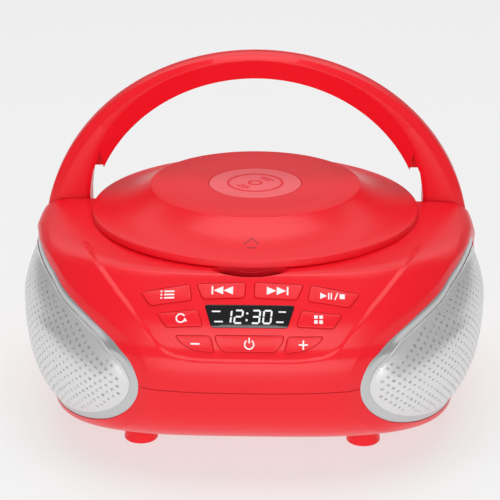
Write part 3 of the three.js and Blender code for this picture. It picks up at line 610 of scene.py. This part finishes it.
def offset_loop(loop, amount):
    """Moves a counter-clockwise or clockwise loop outwards by an amount."""
    ahead, behind = np.roll(loop, -1, 0), np.roll(loop, 1, 0)
    along = (ahead - loop) / np.maximum(np.linalg.norm(ahead - loop, axis=1, keepdims=True), 1e-9)
    along += (loop - behind) / np.maximum(np.linalg.norm(loop - behind, axis=1, keepdims=True), 1e-9)
    n = np.stack([along[:, 1], -along[:, 0]], -1)
    n /= np.maximum(np.linalg.norm(n, axis=1, keepdims=True), 1e-9)
    return loop + n * amount * (1 if signed_area(loop) > 0 else -1)


def mirrored(outline):
    """The outline on the other side of the panel."""
    return [(-x, s) for x, s in outline]


# Outlines of the keys and the window, (across, down the slope) on their plane.
PLAY = [(29.7, -19.2), (53.8, -15.6), (48.8, -8.6), (28.2, -11)]
NEXT = [(2.2, -20.2), (26.2, -19.3), (23.1, -11.5), (2.3, -12.2)]
MODE = [(25.4, -6.1), (45.3, -4.5), (40.8, 2.4), (22.7, 2.1)]
VOLUME = [(18.9, -40.1), (36.4, -40.2), (33.2, -36.4), (27.5, -33.4), (18.8, -32.2), (17.1, -32.7)]
POWER = [(-17, -40.5), (17, -40.5), (15.6, -36), (12.6, -32.6), (-12.6, -32.6), (-15.6, -36)]
WINDOW = [(-22, -8.6), (22, -8.6), (18.5, 2.8), (-18.5, 2.8)]
KEYS = {
    "key_program": (UPPER, mirrored(PLAY)), "key_previous": (UPPER, mirrored(NEXT)),
    "key_next": (UPPER, NEXT), "key_play": (UPPER, PLAY),
    "key_repeat": (UPPER, mirrored(MODE)), "key_mode": (UPPER, MODE),
    "key_volume_down": (LOWER, mirrored(VOLUME)), "key_power": (LOWER, POWER),
    "key_volume_up": (LOWER, VOLUME),
}
KEY_ROUND, WINDOW_ROUND = 1.6, 1.5  # corner radii
KEY_GAP, WINDOW_GAP = 0.13, 0.1
UPPER_CUT, LOWER_CUT = (126, 24), (120.6, 22)  # start and depth of the keys' holes along the normal


def panel_cutter(panel, outline, radius, gap):
    """The hole that a key or the window stands in."""
    n, down = panel
    loop = offset_loop(rounded(outline, radius + 0.1), gap)
    return prism(loop, (EX, down, n), *(UPPER_CUT if panel is UPPER else LOWER_CUT))


def upper_half():
    """The upper case half: walls, bosses, well, deck, hinge lugs, and every hole."""
    shell = skin_loft("case_top", [
        *np.arange(SEAM + GAP, 96, 0.9), *np.arange(96, 103, 0.7), 103, 103.6, 104.1, 104.5, 104.75, 104.95,
        105.1, 105.2, 105.3, 105.37])
    cavity = inner_solid([50, 55, 60, 66, 73, 80, 86, 93, 98, 102])
    combine(cavity, [stepped_well(WELL_R + WALL, WELL_Z - WALL, RING_R + WALL, RING_Z - WALL),
                     deck_space(WALL), ledge(WALL)])
    combine(shell, [cavity])
    bosses = [cylinder("z", BOSS_R, p, SEAM + GAP, 97 if p[1] < 0 else DECK_Z - 1, 24) for p in SCREWS]
    combine(shell, bosses, "UNION")
    hinge_room = box(-30.5, 30.5, 79.5, 100, 99, 130)
    arm_room = box(-20.3, 20.3, 78, 100, 94.8, 130)
    combine(shell, [stepped_well(TRAY_R, TRAY_Z, RING_R, TRAY_RING_Z), deck_space(0), ledge(0),
                    hinge_room, arm_room])
    lugs = []
    for x0, x1 in LUG_SPANS:
        lugs += [cylinder("x", LUG_R, HINGE, x0, x1), box(x0, x1, 79, HINGE[0] + LUG_R, 88, HINGE[1])]
    combine(shell, lugs, "UNION")
    finger = turned("finger", [(math.cos(a) if abs(a) < 1.57 else 0, math.sin(a))
                               for a in np.linspace(-math.pi / 2, math.pi / 2, 25)], 64)
    finger.data.transform(Matrix.Translation(FINGER_AT) @ Matrix.Diagonal((*FINGER_SIZE, 1)))
    hook_hole = box(-4, 4, -78.7, -73, 90, 100)
    aerial_hole = cylinder("y", AERIAL_R, AERIAL, 84, 96)
    combine(shell, [
        cylinder("x", PIN_R, HINGE, -PIN_END, PIN_END), hook_hole, finger,
        *[cylinder("z", PIN_R, p, 47, 64, 16) for p in SCREWS],
        *rods("x", PIVOT_R, PIVOT, ((-117.6, -81), (81, 117.6))), aerial_hole])
    combine(shell, [panel_cutter(panel, outline, KEY_ROUND, KEY_GAP) for panel, outline in KEYS.values()])
    return combine(shell, [panel_cutter(UPPER, WINDOW, WINDOW_ROUND, WINDOW_GAP)])


def lower_half():
    """The lower case half: walls, battery bay, screw posts, and the sockets' holes."""
    shell = skin_loft("case_bottom", [
        CASE_LOW, 9.15, 9.4, 9.8, 10.3, 11, *np.arange(12, SEAM - 0.5, 1.0), SEAM])
    cavity = inner_solid([CASE_LOW, 11, 15, 22, 30, 40, 48, 53])
    combine(cavity, [box(-200, 200, -200, 200, 0, UNDERSIDE + WALL)])
    combine(shell, [cavity])
    combine(shell, [box(-BAY_X - BAY_WALL, BAY_X + BAY_WALL, BAY_FRONT - BAY_WALL, BAY_REAR + BAY_WALL,
                        9.5, BAY_TOP + BAY_WALL)], "UNION")
    combine(shell, [cylinder("z", POST_R, p, 9.2 if p[1] < 0 else 10.2, SEAM, 24) for p in SCREWS], "UNION")
    combine(shell, [box(-BAY_X, BAY_X, BAY_FRONT, BAY_REAR, 0, BAY_TOP)])
    for p in SCREWS:
        combine(shell, [cylinder("z", HEAD_R, p, 0, 40, 24), cylinder("z", PIN_R, p, 39, 60, 16)])
    mains_hole, usb_hole = box(-56.3, -31.7, 72, 110, 22.2, 39.8), box(-22.3, -5.7, 84, 110, 29.2, 38.8)
    return combine(shell, [mains_hole, usb_hole, *[cylinder("y", JACK_R, p, 80, 110) for p in JACKS]])


top, bottom = upper_half(), lower_half()
for side in (-1, 1):
    combine(top, [grille_prism(side, start=100)])
    combine(bottom, [grille_prism(side, start=98)])
finish(top, "case_top", "case", RED, ["top_shell"], case_surface)
finish(bottom, "case_bottom", "case", RED, ["bottom_shell"], case_surface)

# ------------------------------------------------------------------ speaker grilles
BEZEL = 4.4  # width of the hollow rim round the perforated dome
HOLE_PITCH = 4.3  # up each column
HOLE_COLUMN = 2.9  # between columns, every other one half a pitch higher
HOLE_R = 0.95
HOLE_SIDES = 10
HOLE_MARGIN = 1.9  # from the dome's edge to the nearest hole's centre
HOLE_FROM, HOLE_TO = 18, 102  # heights between which the lattice is laid out
HOLE_REACH = (-2.6, 1.2)  # of a pin, in from the dome and out
DOME_LOW, DOME_RISE, DOME_RUN = -2.4, 3.6, 24  # height at its edge, rise, and run of the rise
RIM_LOW, RIM_HOLLOW = -1.9, 1.1  # height at the outline, and how much lower the inner edge is
FACE_THICK, RIM_THICK = 0.3, 1.2
CLOTH_UNDER, CLOTH_THICK = 0.45, 0.55  # depth of the cloth under the dome


def dome_lift(p):
    """Height of the perforated dome over the plain case, from the depth inside the outline."""
    inside = grille_field(*grille_uv(p)) - BEZEL
    return DOME_LOW + DOME_RISE * np.sin(np.clip(inside / DOME_RUN, 0, 1) * math.pi / 2)


def rim_lift(p):
    """Height of the hollow rim, which falls towards the dome."""
    inside = np.clip(grille_field(*grille_uv(p)) / BEZEL, 0, 1)
    return RIM_LOW - RIM_HOLLOW * np.sin(inside * math.pi / 2) ** 1.5


def lifted(lift, depth=0.0):
    """The plain case surface moved out by a lift and in by a depth."""
    def surface(phi, z):
        base = case_base(phi, z)
        return base + (lift(base) - depth)[..., None] * normals_of(case_base, phi, z)
    return surface


grille_surface = lifted(dome_lift)
rim_surface = lifted(rim_lift)


def side_columns(side, step):
    """Angles round the case, fine where the grille is."""
    fine = np.arange(-78, 22, step)
    rest = np.arange(22, 282, 6)
    phi = np.radians(np.concatenate([fine, rest]))
    return phi if side > 0 else (math.pi - phi)[::-1]


# Length along the case's side at mid height, which spaces the columns of holes evenly.
arc_phi = np.linspace(-math.pi / 2, math.pi / 3, 2000)
arc_points = case_base(arc_phi, np.full(len(arc_phi), 60.0))
arc_length = np.concatenate([[0], np.cumsum(np.linalg.norm(np.diff(arc_points, axis=0), axis=1))])


def hole_cutter(side):
    """One mesh of small pins square to the dome, on a staggered lattice."""
    places = []
    for k in range(int(arc_length[-1] / HOLE_COLUMN)):
        phi = np.interp(k * HOLE_COLUMN, arc_length, arc_phi)
        for z in np.arange(HOLE_FROM + (k % 2) * HOLE_PITCH / 2, HOLE_TO, HOLE_PITCH):
            places.append((phi, z))
    places = np.array(places)
    base = case_base(places[:, 0], places[:, 1])
    places = places[(grille_field(*grille_uv(base)) > BEZEL + HOLE_MARGIN) & (base[:, 0] > GRILLE_X)]
    phi = places[:, 0] if side > 0 else math.pi - places[:, 0]
    centre = grille_surface(phi, places[:, 1])
    n = normals_of(grille_surface, phi, places[:, 1])
    up = np.cross(n, np.cross([0, 0, 1], n))
    up /= np.linalg.norm(up, axis=1, keepdims=True)
    across = np.cross(up, n)
    turn = [2 * math.pi * i / HOLE_SIDES for i in range(HOLE_SIDES)]
    verts, faces = [], []
    for c, d, u, a in zip(centre, n, up, across):
        ring = list(range(len(verts), len(verts) + HOLE_SIDES))
        for depth in HOLE_REACH:
            verts += [c + d * depth + HOLE_R * (math.cos(t) * a + math.sin(t) * u) for t in turn]
        over = [i + HOLE_SIDES for i in ring]
        faces.extend(zip(ring, over, over[1:] + over[:1], ring[1:] + ring[:1]))
        faces.append(tuple(ring))
        faces.append(tuple(reversed(over)))
    return new_object("holes", verts, faces)


def side_shell(name, side, surface, under, shrink):
    """Sheet between two surfaces, trimmed to the grille's outline."""
    ob = skin_loft(name, np.arange(15, 105.3, 0.7), surface, side_columns(side, 0.32))
    combine(ob, [skin_loft("inside", np.arange(14, 105.39, 1.6), under, side_columns(side, 0.9))])
    return combine(ob, [grille_prism(side, -shrink)], "INTERSECT")


for side, label in ((-1, "left"), (1, "right")):
    face = side_shell("grille", side, grille_surface, lifted(dome_lift, FACE_THICK), BEZEL + 0.05)
    combine(face, [hole_cutter(side)])
    finish(face, "grille_face_" + label, "case", SILVER, ["grille_" + label], grille_surface)
    rim = side_shell("rim", side, rim_surface, lifted(rim_lift, RIM_THICK), 0.12)
    combine(rim, [grille_prism(side, -BEZEL - 0.3)])
    # The rim gets the darker silver, which is painted shade.
    finish(rim, "grille_rim_" + label, "case", SHADED_RIM_SILVER, [], rim_surface)
    cloth = side_shell("cloth", side, lifted(dome_lift, CLOTH_UNDER),
                       lifted(dome_lift, CLOTH_UNDER + CLOTH_THICK), BEZEL + 0.2)
    finish(cloth, "grille_cloth_" + label, "case", CLOTH)

# ------------------------------------------------------------------ keys and display
def cap_on_panel(name, panel, outline, radius, height, depth, edge):
    """A key or window that stands in the panel: a side wall, a rounded edge and a face on the skin.

    height is its rise over the panel at the upper and the lower end, depth its reach below it, and
    edge the size of the rounding."""
    n, _ = panel
    loop = rounded(outline, radius)
    centre = loop.mean(0)
    low, high = loop[:, 1].min(), loop[:, 1].max()

    def ring(points, drop):
        rise = height[0] + (height[1] - height[0]) * (points[:, 1:] - low) / (high - low)
        return project(panel, points) + (rise - drop) * n
    skin = project(panel, loop)
    rings = [skin - depth * n, skin - 0.4 * n]
    for inset, drop in ((0, 1.0), (0.1, 0.45), (0.3, 0.15), (0.62, 0.03), (1.0, 0)):
        rings.append(ring(offset_loop(loop, -inset * edge), drop * edge))
    last = offset_loop(loop, -edge)
    for share in (0.8, 0.6, 0.4, 0.2, 0.05):
        rings.append(ring(centre + (last - centre) * share, 0))
    return make_outward(loft(name, rings))


KEY_RISE = (0.1, 0.95)  # a key stands higher at its lower end
for name, (panel, outline) in KEYS.items():
    cap = cap_on_panel(name, panel, outline, KEY_ROUND, KEY_RISE, 5.4, 0.5)
    finish(cap, name + "_cap", name + "_body", RED_KEY, [name], angle=50)
window = cap_on_panel("window", UPPER, WINDOW, WINDOW_ROUND, (0.12, 0.12), 1.8, 0.25)
finish(window, "display_glass", "case", GLASS, ["display_window"], angle=50)


def marks(shapes, place):
    """Thin raised marks, one solid per outline; place(outline) gives its under and upper points."""
    verts, faces = [], []
    for shape in shapes:
        shape = np.array(shape, float)
        if signed_area(shape) < 0:
            shape = shape[::-1]
        first, count = len(verts), len(shape)
        for points in place(shape):
            verts.extend(points)
        faces.append(tuple(first + i for i in range(count)))
        faces.append(tuple(first + count + i for i in reversed(range(count))))
        for i in range(count):
            j = (i + 1) % count
            faces.append((first + i, first + count + i, first + count + j, first + j))
    return make_outward(new_object("mark", verts, faces))


MARK_SUNK = 0.06  # reach of a mark under the face that it is on


def panel_marks(panel, shapes, lift, thick=0.08):
    """Marks on the panel, lift(down) above it, where down is a place down the slope."""
    def place(shape):
        skin, rise = project(panel, shape), lift(shape[:, 1])
        return [skin + (rise + step)[:, None] * panel[0] for step in (-MARK_SUNK, thick)]
    return marks(shapes, place)


def bar(x, y, w, h):
    """Rectangle round a centre."""
    return [(x - w / 2, y - h / 2), (x + w / 2, y - h / 2), (x + w / 2, y + h / 2), (x - w / 2, y + h / 2)]


def arrow(x, y, w, h):
    """Triangle that points right."""
    return [(x - w / 2, y - h / 2), (x + w / 2, y), (x - w / 2, y + h / 2)]


def arc(x, y, r, width, start, end, steps=24):
    """Band of a circle between two angles in degrees."""
    a = np.radians(np.linspace(start, end, steps))
    outer, inner = r + width / 2, r - width / 2
    return [(x + outer * math.cos(t), y + outer * math.sin(t)) for t in a] + [
        (x + inner * math.cos(t), y + inner * math.sin(t)) for t in reversed(a)]


# Generic symbols: (across, down) from the middle of the key.
SKIP = [arrow(-2.9, 0, 4.6, 4.3), arrow(1.9, 0, 4.6, 4.3), bar(4.9, 0, 0.8, 4.3)]
ICONS = {
    "key_program": [bar(x, y, w, 0.8) for x, w in ((-3.2, 0.9), (0.7, 5)) for y in (-1.7, 0, 1.7)],
    "key_previous": [[(-x, y) for x, y in shape] for shape in SKIP],
    "key_next": SKIP,
    "key_play": [arrow(-4.2, 0, 3.2, 3.4), bar(-1.7, 0, 0.65, 3.4), bar(-0.4, 0, 0.65, 3.4),
                 [(1.0, 1.9), (1.6, 1.9), (3.0, -1.9), (2.4, -1.9)], bar(4.9, 0, 2.5, 2.5)],
    "key_repeat": [arc(0, 0, 2.1, 0.7, 40, 330), [(1.0, 1.9), (3.3, 1.6), (2.0, -0.2)]],
    "key_mode": [bar(x, y, 1.7, 1.7) for x in (-1.25, 1.25) for y in (-1.25, 1.25)],
    "key_volume_down": [bar(0, 0, 4.4, 0.75)],
    "key_power": [arc(0, 0.3, 2.2, 0.65, -55, 235), bar(0, -1.6, 0.65, 2.6)],
    "key_volume_up": [bar(0, 0, 4.4, 0.75), bar(0, -1.3, 0.75, 1.84), bar(0, 1.3, 0.75, 1.84)],
}
VOLUME_MARK_X = 26.3
for name, shapes in ICONS.items():
    panel, outline = KEYS[name]
    loop = rounded(outline, KEY_ROUND)
    low, high = loop[:, 1].min(), loop[:, 1].max()
    middle = np.array([loop[:, 0].mean(), (low + high) / 2])
    if "volume" in name:
        middle[0] = math.copysign(VOLUME_MARK_X, middle[0])
    shapes = [np.array(shape) + middle for shape in shapes]
    mark = panel_marks(panel, shapes, lambda down: np.interp(down, (low, high), KEY_RISE))
    finish(mark, name + "_mark", name + "_body", WHITE, angle=50)

SEGMENTS = {"1": "bc", "2": "abged", "3": "abgcd", "0": "abcdef"}
DIGIT_Y = -2.6


def digit(character, x, y, w=3.7, h=6.3, t=0.85, slant=0.1):
    """Seven-segment digit, w by h, in bars t thick."""
    half = h / 2
    spots = {
        "a": bar(0, -half, w - 0.5, t), "g": bar(0, 0, w - 0.9, t), "d": bar(0, half, w - 0.5, t),
        "b": bar(w / 2, -half / 2, t, half - 0.5), "c": bar(w / 2, half / 2, t, half - 0.5),
        "f": bar(-w / 2, -half / 2, t, half - 0.5), "e": bar(-w / 2, half / 2, t, half - 0.5),
    }
    return [[(x + a - slant * b, y + b) for a, b in spots[s]] for s in SEGMENTS[character]]


face = [bar(-1.1, -4.3, 0.95, 0.95), bar(-1.4, -0.9, 0.95, 0.95)]  # the colon
for character, x in (("1", -10.8), ("2", -5.3), ("3", 3.1), ("0", 8.7)):
    face += digit(character, x, DIGIT_Y)
for x, y, w in ((-16.3, -5.2, 4.2), (-15, -0.1, 4.2), (15.9, -5.2, 3.6), (14.8, -0.1, 3.6)):
    face.append(bar(x, y, w, 0.7))
face = panel_marks(UPPER, face, lambda down: np.full(len(down), 0.14), 0.05)
finish(face, "display_digits", "case", LIT, angle=50)


# ------------------------------------------------------------------ lid
def curve(points, steps=6):
    """Smooth open line through points, ends included."""
    p = np.array([points[0], *points, points[-1]], float)
    out = []
    for corners in zip(p, p[1:], p[2:], p[3:]):
        out += [tuple(catmull_rom(*corners, t)) for t in np.arange(steps) / steps]
    return out + [tuple(p[-1])]


LID_Z = 121  # top of the lid and of its badge
BADGE_R, BADGE_ROOM_R = 24.3, 24.6
# (radius, height): the badge's seat and the flat top, the slope, the rim, and back along the inside.
SLOPE = curve([(56, 120.25), (60, 117.5), (66, 114.2), (74, 111.3), (82, 109.6), (84.9, 109.05)])
LID_PROFILE = [
    (0, 120.2), (BADGE_ROOM_R, 120.2), (BADGE_ROOM_R, 120.85), (BADGE_ROOM_R + 0.15, LID_Z), (40, LID_Z),
    (54.8, LID_Z), (55.3, 120.9), (55.7, 120.6), *SLOPE,
    (85.5, 108.85), (85.85, 108.5), (86, 108), (86, 105.5), (85.8, 105.2), (85.4, 105), (83.8, 105),
    (83.8, 107), (74, 109.1), (66, 112), (60, 115), (55, 118.2), (0, 118.2)]
PLATE_BOSSES = (0, 2.1, 4.2)  # angles of the posts that hold the inner plate
PLATE_BOSS_RING = 40
lid = turned("lid", LID_PROFILE, 192)
fittings = []
for x0, x1 in ARM_SPANS:
    fittings += [box(x0, x1, 79.6, 84.5, 100, 108), cylinder("x", ARM_R, HINGE, x0, x1)]
hook = [box(-2.5, 2.5, -77.6, -75.4, 93, 110), box(-2.5, 2.5, -77.6, -74.2, 93, 94.8)]
posts = [cylinder("z", 3, (PLATE_BOSS_RING * math.cos(a), PLATE_BOSS_RING * math.sin(a)), 107.3, 118.6, 20)
         for a in PLATE_BOSSES]
combine(lid, [*fittings, *hook, *posts], "UNION")
combine(lid, [cylinder("x", PIN_R, HINGE, -PIN_END, PIN_END)])
finish(lid, "lid_cover", "lid_body", RED, ["lid"], angle=30)

badge = turned("badge", [(0, 120.5), (BADGE_R, 120.5), (BADGE_R, 120.85), (BADGE_R - 0.2, LID_Z),
                         (0, LID_Z)], 128)
finish(badge, "badge_disc", "lid_body", BADGE_RED, ["lid_badge"])


def flat_ring(inner, outer, start=0, end=360, steps=96):
    """A thin raised band on the badge, whole or part of a turn."""
    whole = end - start == 360
    low, high = LID_Z - 0.1, LID_Z + 0.12
    section = (inner, low), (outer, low), (outer, high), (inner, high)
    rings = np.array([[(r * math.cos(t), r * math.sin(t), z) for r, z in section]
                      for t in np.radians(np.linspace(start, end, steps, endpoint=not whole))])
    if not whole:
        return make_outward(loft("band", rings))
    return make_outward(new_object("band", rings.reshape(-1, 3), tube_faces(steps, 4, closed=True)))


bands = [flat_ring(13.6, 15), flat_ring(2.6, 3.9)]
bands += [flat_ring(inner, outer, start, start + 50, 20)
          for start in (20, 200) for inner, outer in ((7, 8.1), (9.4, 10.5))]
finish(combine(bands[0], bands[1:], "UNION"), "badge_mark", "lid_body", RED, angle=50)


def on_lid_slope(shape):
    """The under and upper points of a mark on the lid's slope."""
    z = np.interp(np.hypot(shape[:, 0], shape[:, 1]), *zip(*SLOPE))
    return [np.column_stack([shape, z + step]) for step in (-0.08, 0.1)]


caret = [(-3.9, -70.6), (0, -66.2), (0, -67), (-3.4, -70.9)]  # its left half
lid_marks = marks([caret, mirrored(caret), bar(0, -73.6, 5, 0.7)], on_lid_slope)
finish(lid_marks, "lid_caret", "lid_body", DARK_RED, angle=50)

# ------------------------------------------------------------------ handle
# Superellipse arches: height of the centre, half width, rise, and power.
ARCH_OUTER = (79.3, 115, 105.4, 2.02)
ARCH_INNER = (88.6, 89.5, 82.4, 2)
FRONT_Y, SPLIT_Y, CREST_Y, BACK_Y = 19.5, 29.6, 32.5, 36.5  # SPLIT_Y is the plane between its two shells
NOTCH_Z = 120.4  # below this the rear shell stops, and the front shell is the whole leg
FOOT_R, EAR_ROOM_R = 9.5, 12.2  # round foot of a leg, and the room for the case's ear beside it
LEGS = ((LEG_IN, LEG_OUT), (-LEG_OUT, -LEG_IN))
BESIDE_LEGS = ((LEG_OUT, 125), (-125, -LEG_OUT))


def arch_point(arch, angle):
    """Across and height of a point on one of the arches."""
    z, width, height, power = arch
    c, s = math.cos(angle), abs(math.sin(angle))
    return math.copysign(width * abs(c) ** (2 / power), c), z + height * s ** (2 / power)


def arch_section(angle):
    """Outline of the handle's section: share of the way from the outer to the inner arch, and y."""
    rise = abs(math.sin(angle))
    outer = 0.17 + 0.1 * abs(math.sin(2 * angle))
    inner = max(0.9 - 0.72 * rise**1.3, outer + 0.02)
    front = [(0, 4.3 - 1.5 * rise), (0.03, 3 - 1.2 * rise), (outer - 0.03, 0.35), (outer, 0), (inner, 0),
             (inner + 0.03, 0.2), (0.985, 1.9 + 2.4 * rise), (1, 2.4 + 2.5 * rise)]
    back = [(1, BACK_Y - 1), (0.9, BACK_Y), (0.14, BACK_Y), (0.05, BACK_Y - 1.2)]
    return [(0, CREST_Y), *((share, FRONT_Y + y) for share, y in front), *back]


def slab(y0, y1, z0, z1):
    """Block across the whole width."""
    return box(-140, 140, y0, y1, z0, z1)


def arch_solid():
    """The whole handle above the height of its axis."""
    rings = []
    for angle in np.linspace(0, math.pi, 121):
        (ox, oz), (ix, iz) = arch_point(ARCH_OUTER, angle), arch_point(ARCH_INNER, angle)
        rings.append([(ox + (ix - ox) * t, y, oz + (iz - oz) * t) for t, y in arch_section(angle)])
    return combine(make_outward(loft("arch", rings)), [slab(-10, 90, 40, PIVOT[1])])


# (across, height) inside the legs, and the fillet strip that leads into the arch.
LEG_ROOM = [(0, 60), (LEG_IN, 60), (LEG_IN, 108), (88.9, 114), (87.7, NOTCH_Z)]
GROOVE = [(85.6, 125.5), (83.9, 130.6), (82, NOTCH_Z)]


def leg_rooms(outline):
    """The space between the legs, cut out on either side."""
    basis = (1, 0, 0), (0, 0, 1), (0, 1, 0)
    return [prism([(side * x, z) for x, z in [*outline, (0, NOTCH_Z)]], basis, 0, 70) for side in (1, -1)]


front = arch_solid()
combine(front, [slab(SPLIT_Y, 90, NOTCH_Z - 0.2, 220), *leg_rooms(LEG_ROOM + GROOVE)])
combine(front, rods("x", FOOT_R, PIVOT, LEGS, 64), "UNION")
combine(front, [*rods("x", EAR_ROOM_R, PIVOT, BESIDE_LEGS, 64), cylinder("x", PIVOT_R, PIVOT, -130, 130)])
finish(front, "handle_face", "handle_body", RED, ["handle_front"], angle=32)
rear = arch_solid()
combine(rear, [slab(-10, SPLIT_Y + GAP, 40, 220), slab(-10, 90, 40, NOTCH_Z + 0.1), *leg_rooms(LEG_ROOM)])
finish(rear, "handle_back", "handle_body", RED, ["handle_rear"], angle=32)

# ------------------------------------------------------------------ pieces kept from the CAD
FINISHES = {
    "red_shell": RED, "red_badge": BADGE_RED, "grille_silver": SILVER, "steel": STEEL,
    "black_plastic": BLACK, "display_glass": GLASS, "circuit_board": BOARD, "grey_plastic": GREY,
    "paper_cone": PAPER, "ferrite": FERRITE,
}
for part in frame["record"]["subparts"]:
    ob = frame["nodes"][part["node"]]
    ob.data.materials.clear()
    ob.data.materials.append(FINISHES[part["material_slot"]])
    ob.data.shade_smooth()
    ob.data.set_sharp_from_angle(angle=math.radians(25))

# ------------------------------------------------------------------ stage
CAMERA_MM = (27.3, -1043.4, 468.2)  # from the disc axis
CAMERA_DOWN, CAMERA_TURN = 20.25, 1.65  # degrees
FLOOR_HALF = 4
FLOOR_GREY = (0.3, 0.3, 0.3)  # dull, so that the red doesn't tint it much; its glow makes it pale
FLOOR_GLOW = 2.1
camera_data = bpy.data.cameras.new("camera")
camera_data.lens = 150.1
camera_data.sensor_width = 36
camera_data.clip_start = 0.01
camera = bpy.data.objects.new("camera", camera_data)
camera.location = (CAMERA_MM[0] * MM, CAMERA_MM[1] * MM + AXIS_Y, CAMERA_MM[2] * MM)
camera.rotation_euler = (math.radians(90 - CAMERA_DOWN), 0, math.radians(CAMERA_TURN))
bpy.context.scene.collection.objects.link(camera)
bpy.context.scene.camera = camera
bpy.context.scene.view_settings.view_transform = "Standard"

corners = [(x * FLOOR_HALF, y * FLOOR_HALF, 0) for x, y in ((-1, -1), (1, -1), (1, 1), (-1, 1))]
floor = new_object("floor", corners, [(0, 1, 2, 3)])
floor.data.materials.append(
    make_material("floor_white", FLOOR_GREY, 0.8, mottle=0.002, specular=0, glow=FLOOR_GLOW))


def area_light(name, location, target, size, power):
    """Soft rectangular light aimed at a target; places and sizes are in metres."""
    data = bpy.data.lights.new(name, "AREA")
    data.shape = "RECTANGLE"
    data.size, data.size_y = size
    data.energy = power
    light = bpy.data.objects.new(name, data)
    light.location = location
    light.rotation_euler = (Vector(target) - Vector(location)).to_track_quat("-Z", "Y").to_euler()
    bpy.context.scene.collection.objects.link(light)


area_light("overhead", (0, 0, 1.35), (0, 0, 0), (1.2, 1.15), 11)
area_light("backdrop", (0, 2.1, 1.5), (0, 2.1, 0), (3.2, 2), 16)
area_light("front_fill", (0, -1.5, 0.5), (0, 0, 0.08), (1.6, 0.7), 11)
world = bpy.data.worlds.new("studio")
world.use_nodes = True
world.node_tree.nodes["Background"].inputs["Color"].default_value = (1, 1, 1, 1)
world.node_tree.nodes["Background"].inputs["Strength"].default_value = 0.22
bpy.context.scene.world = world
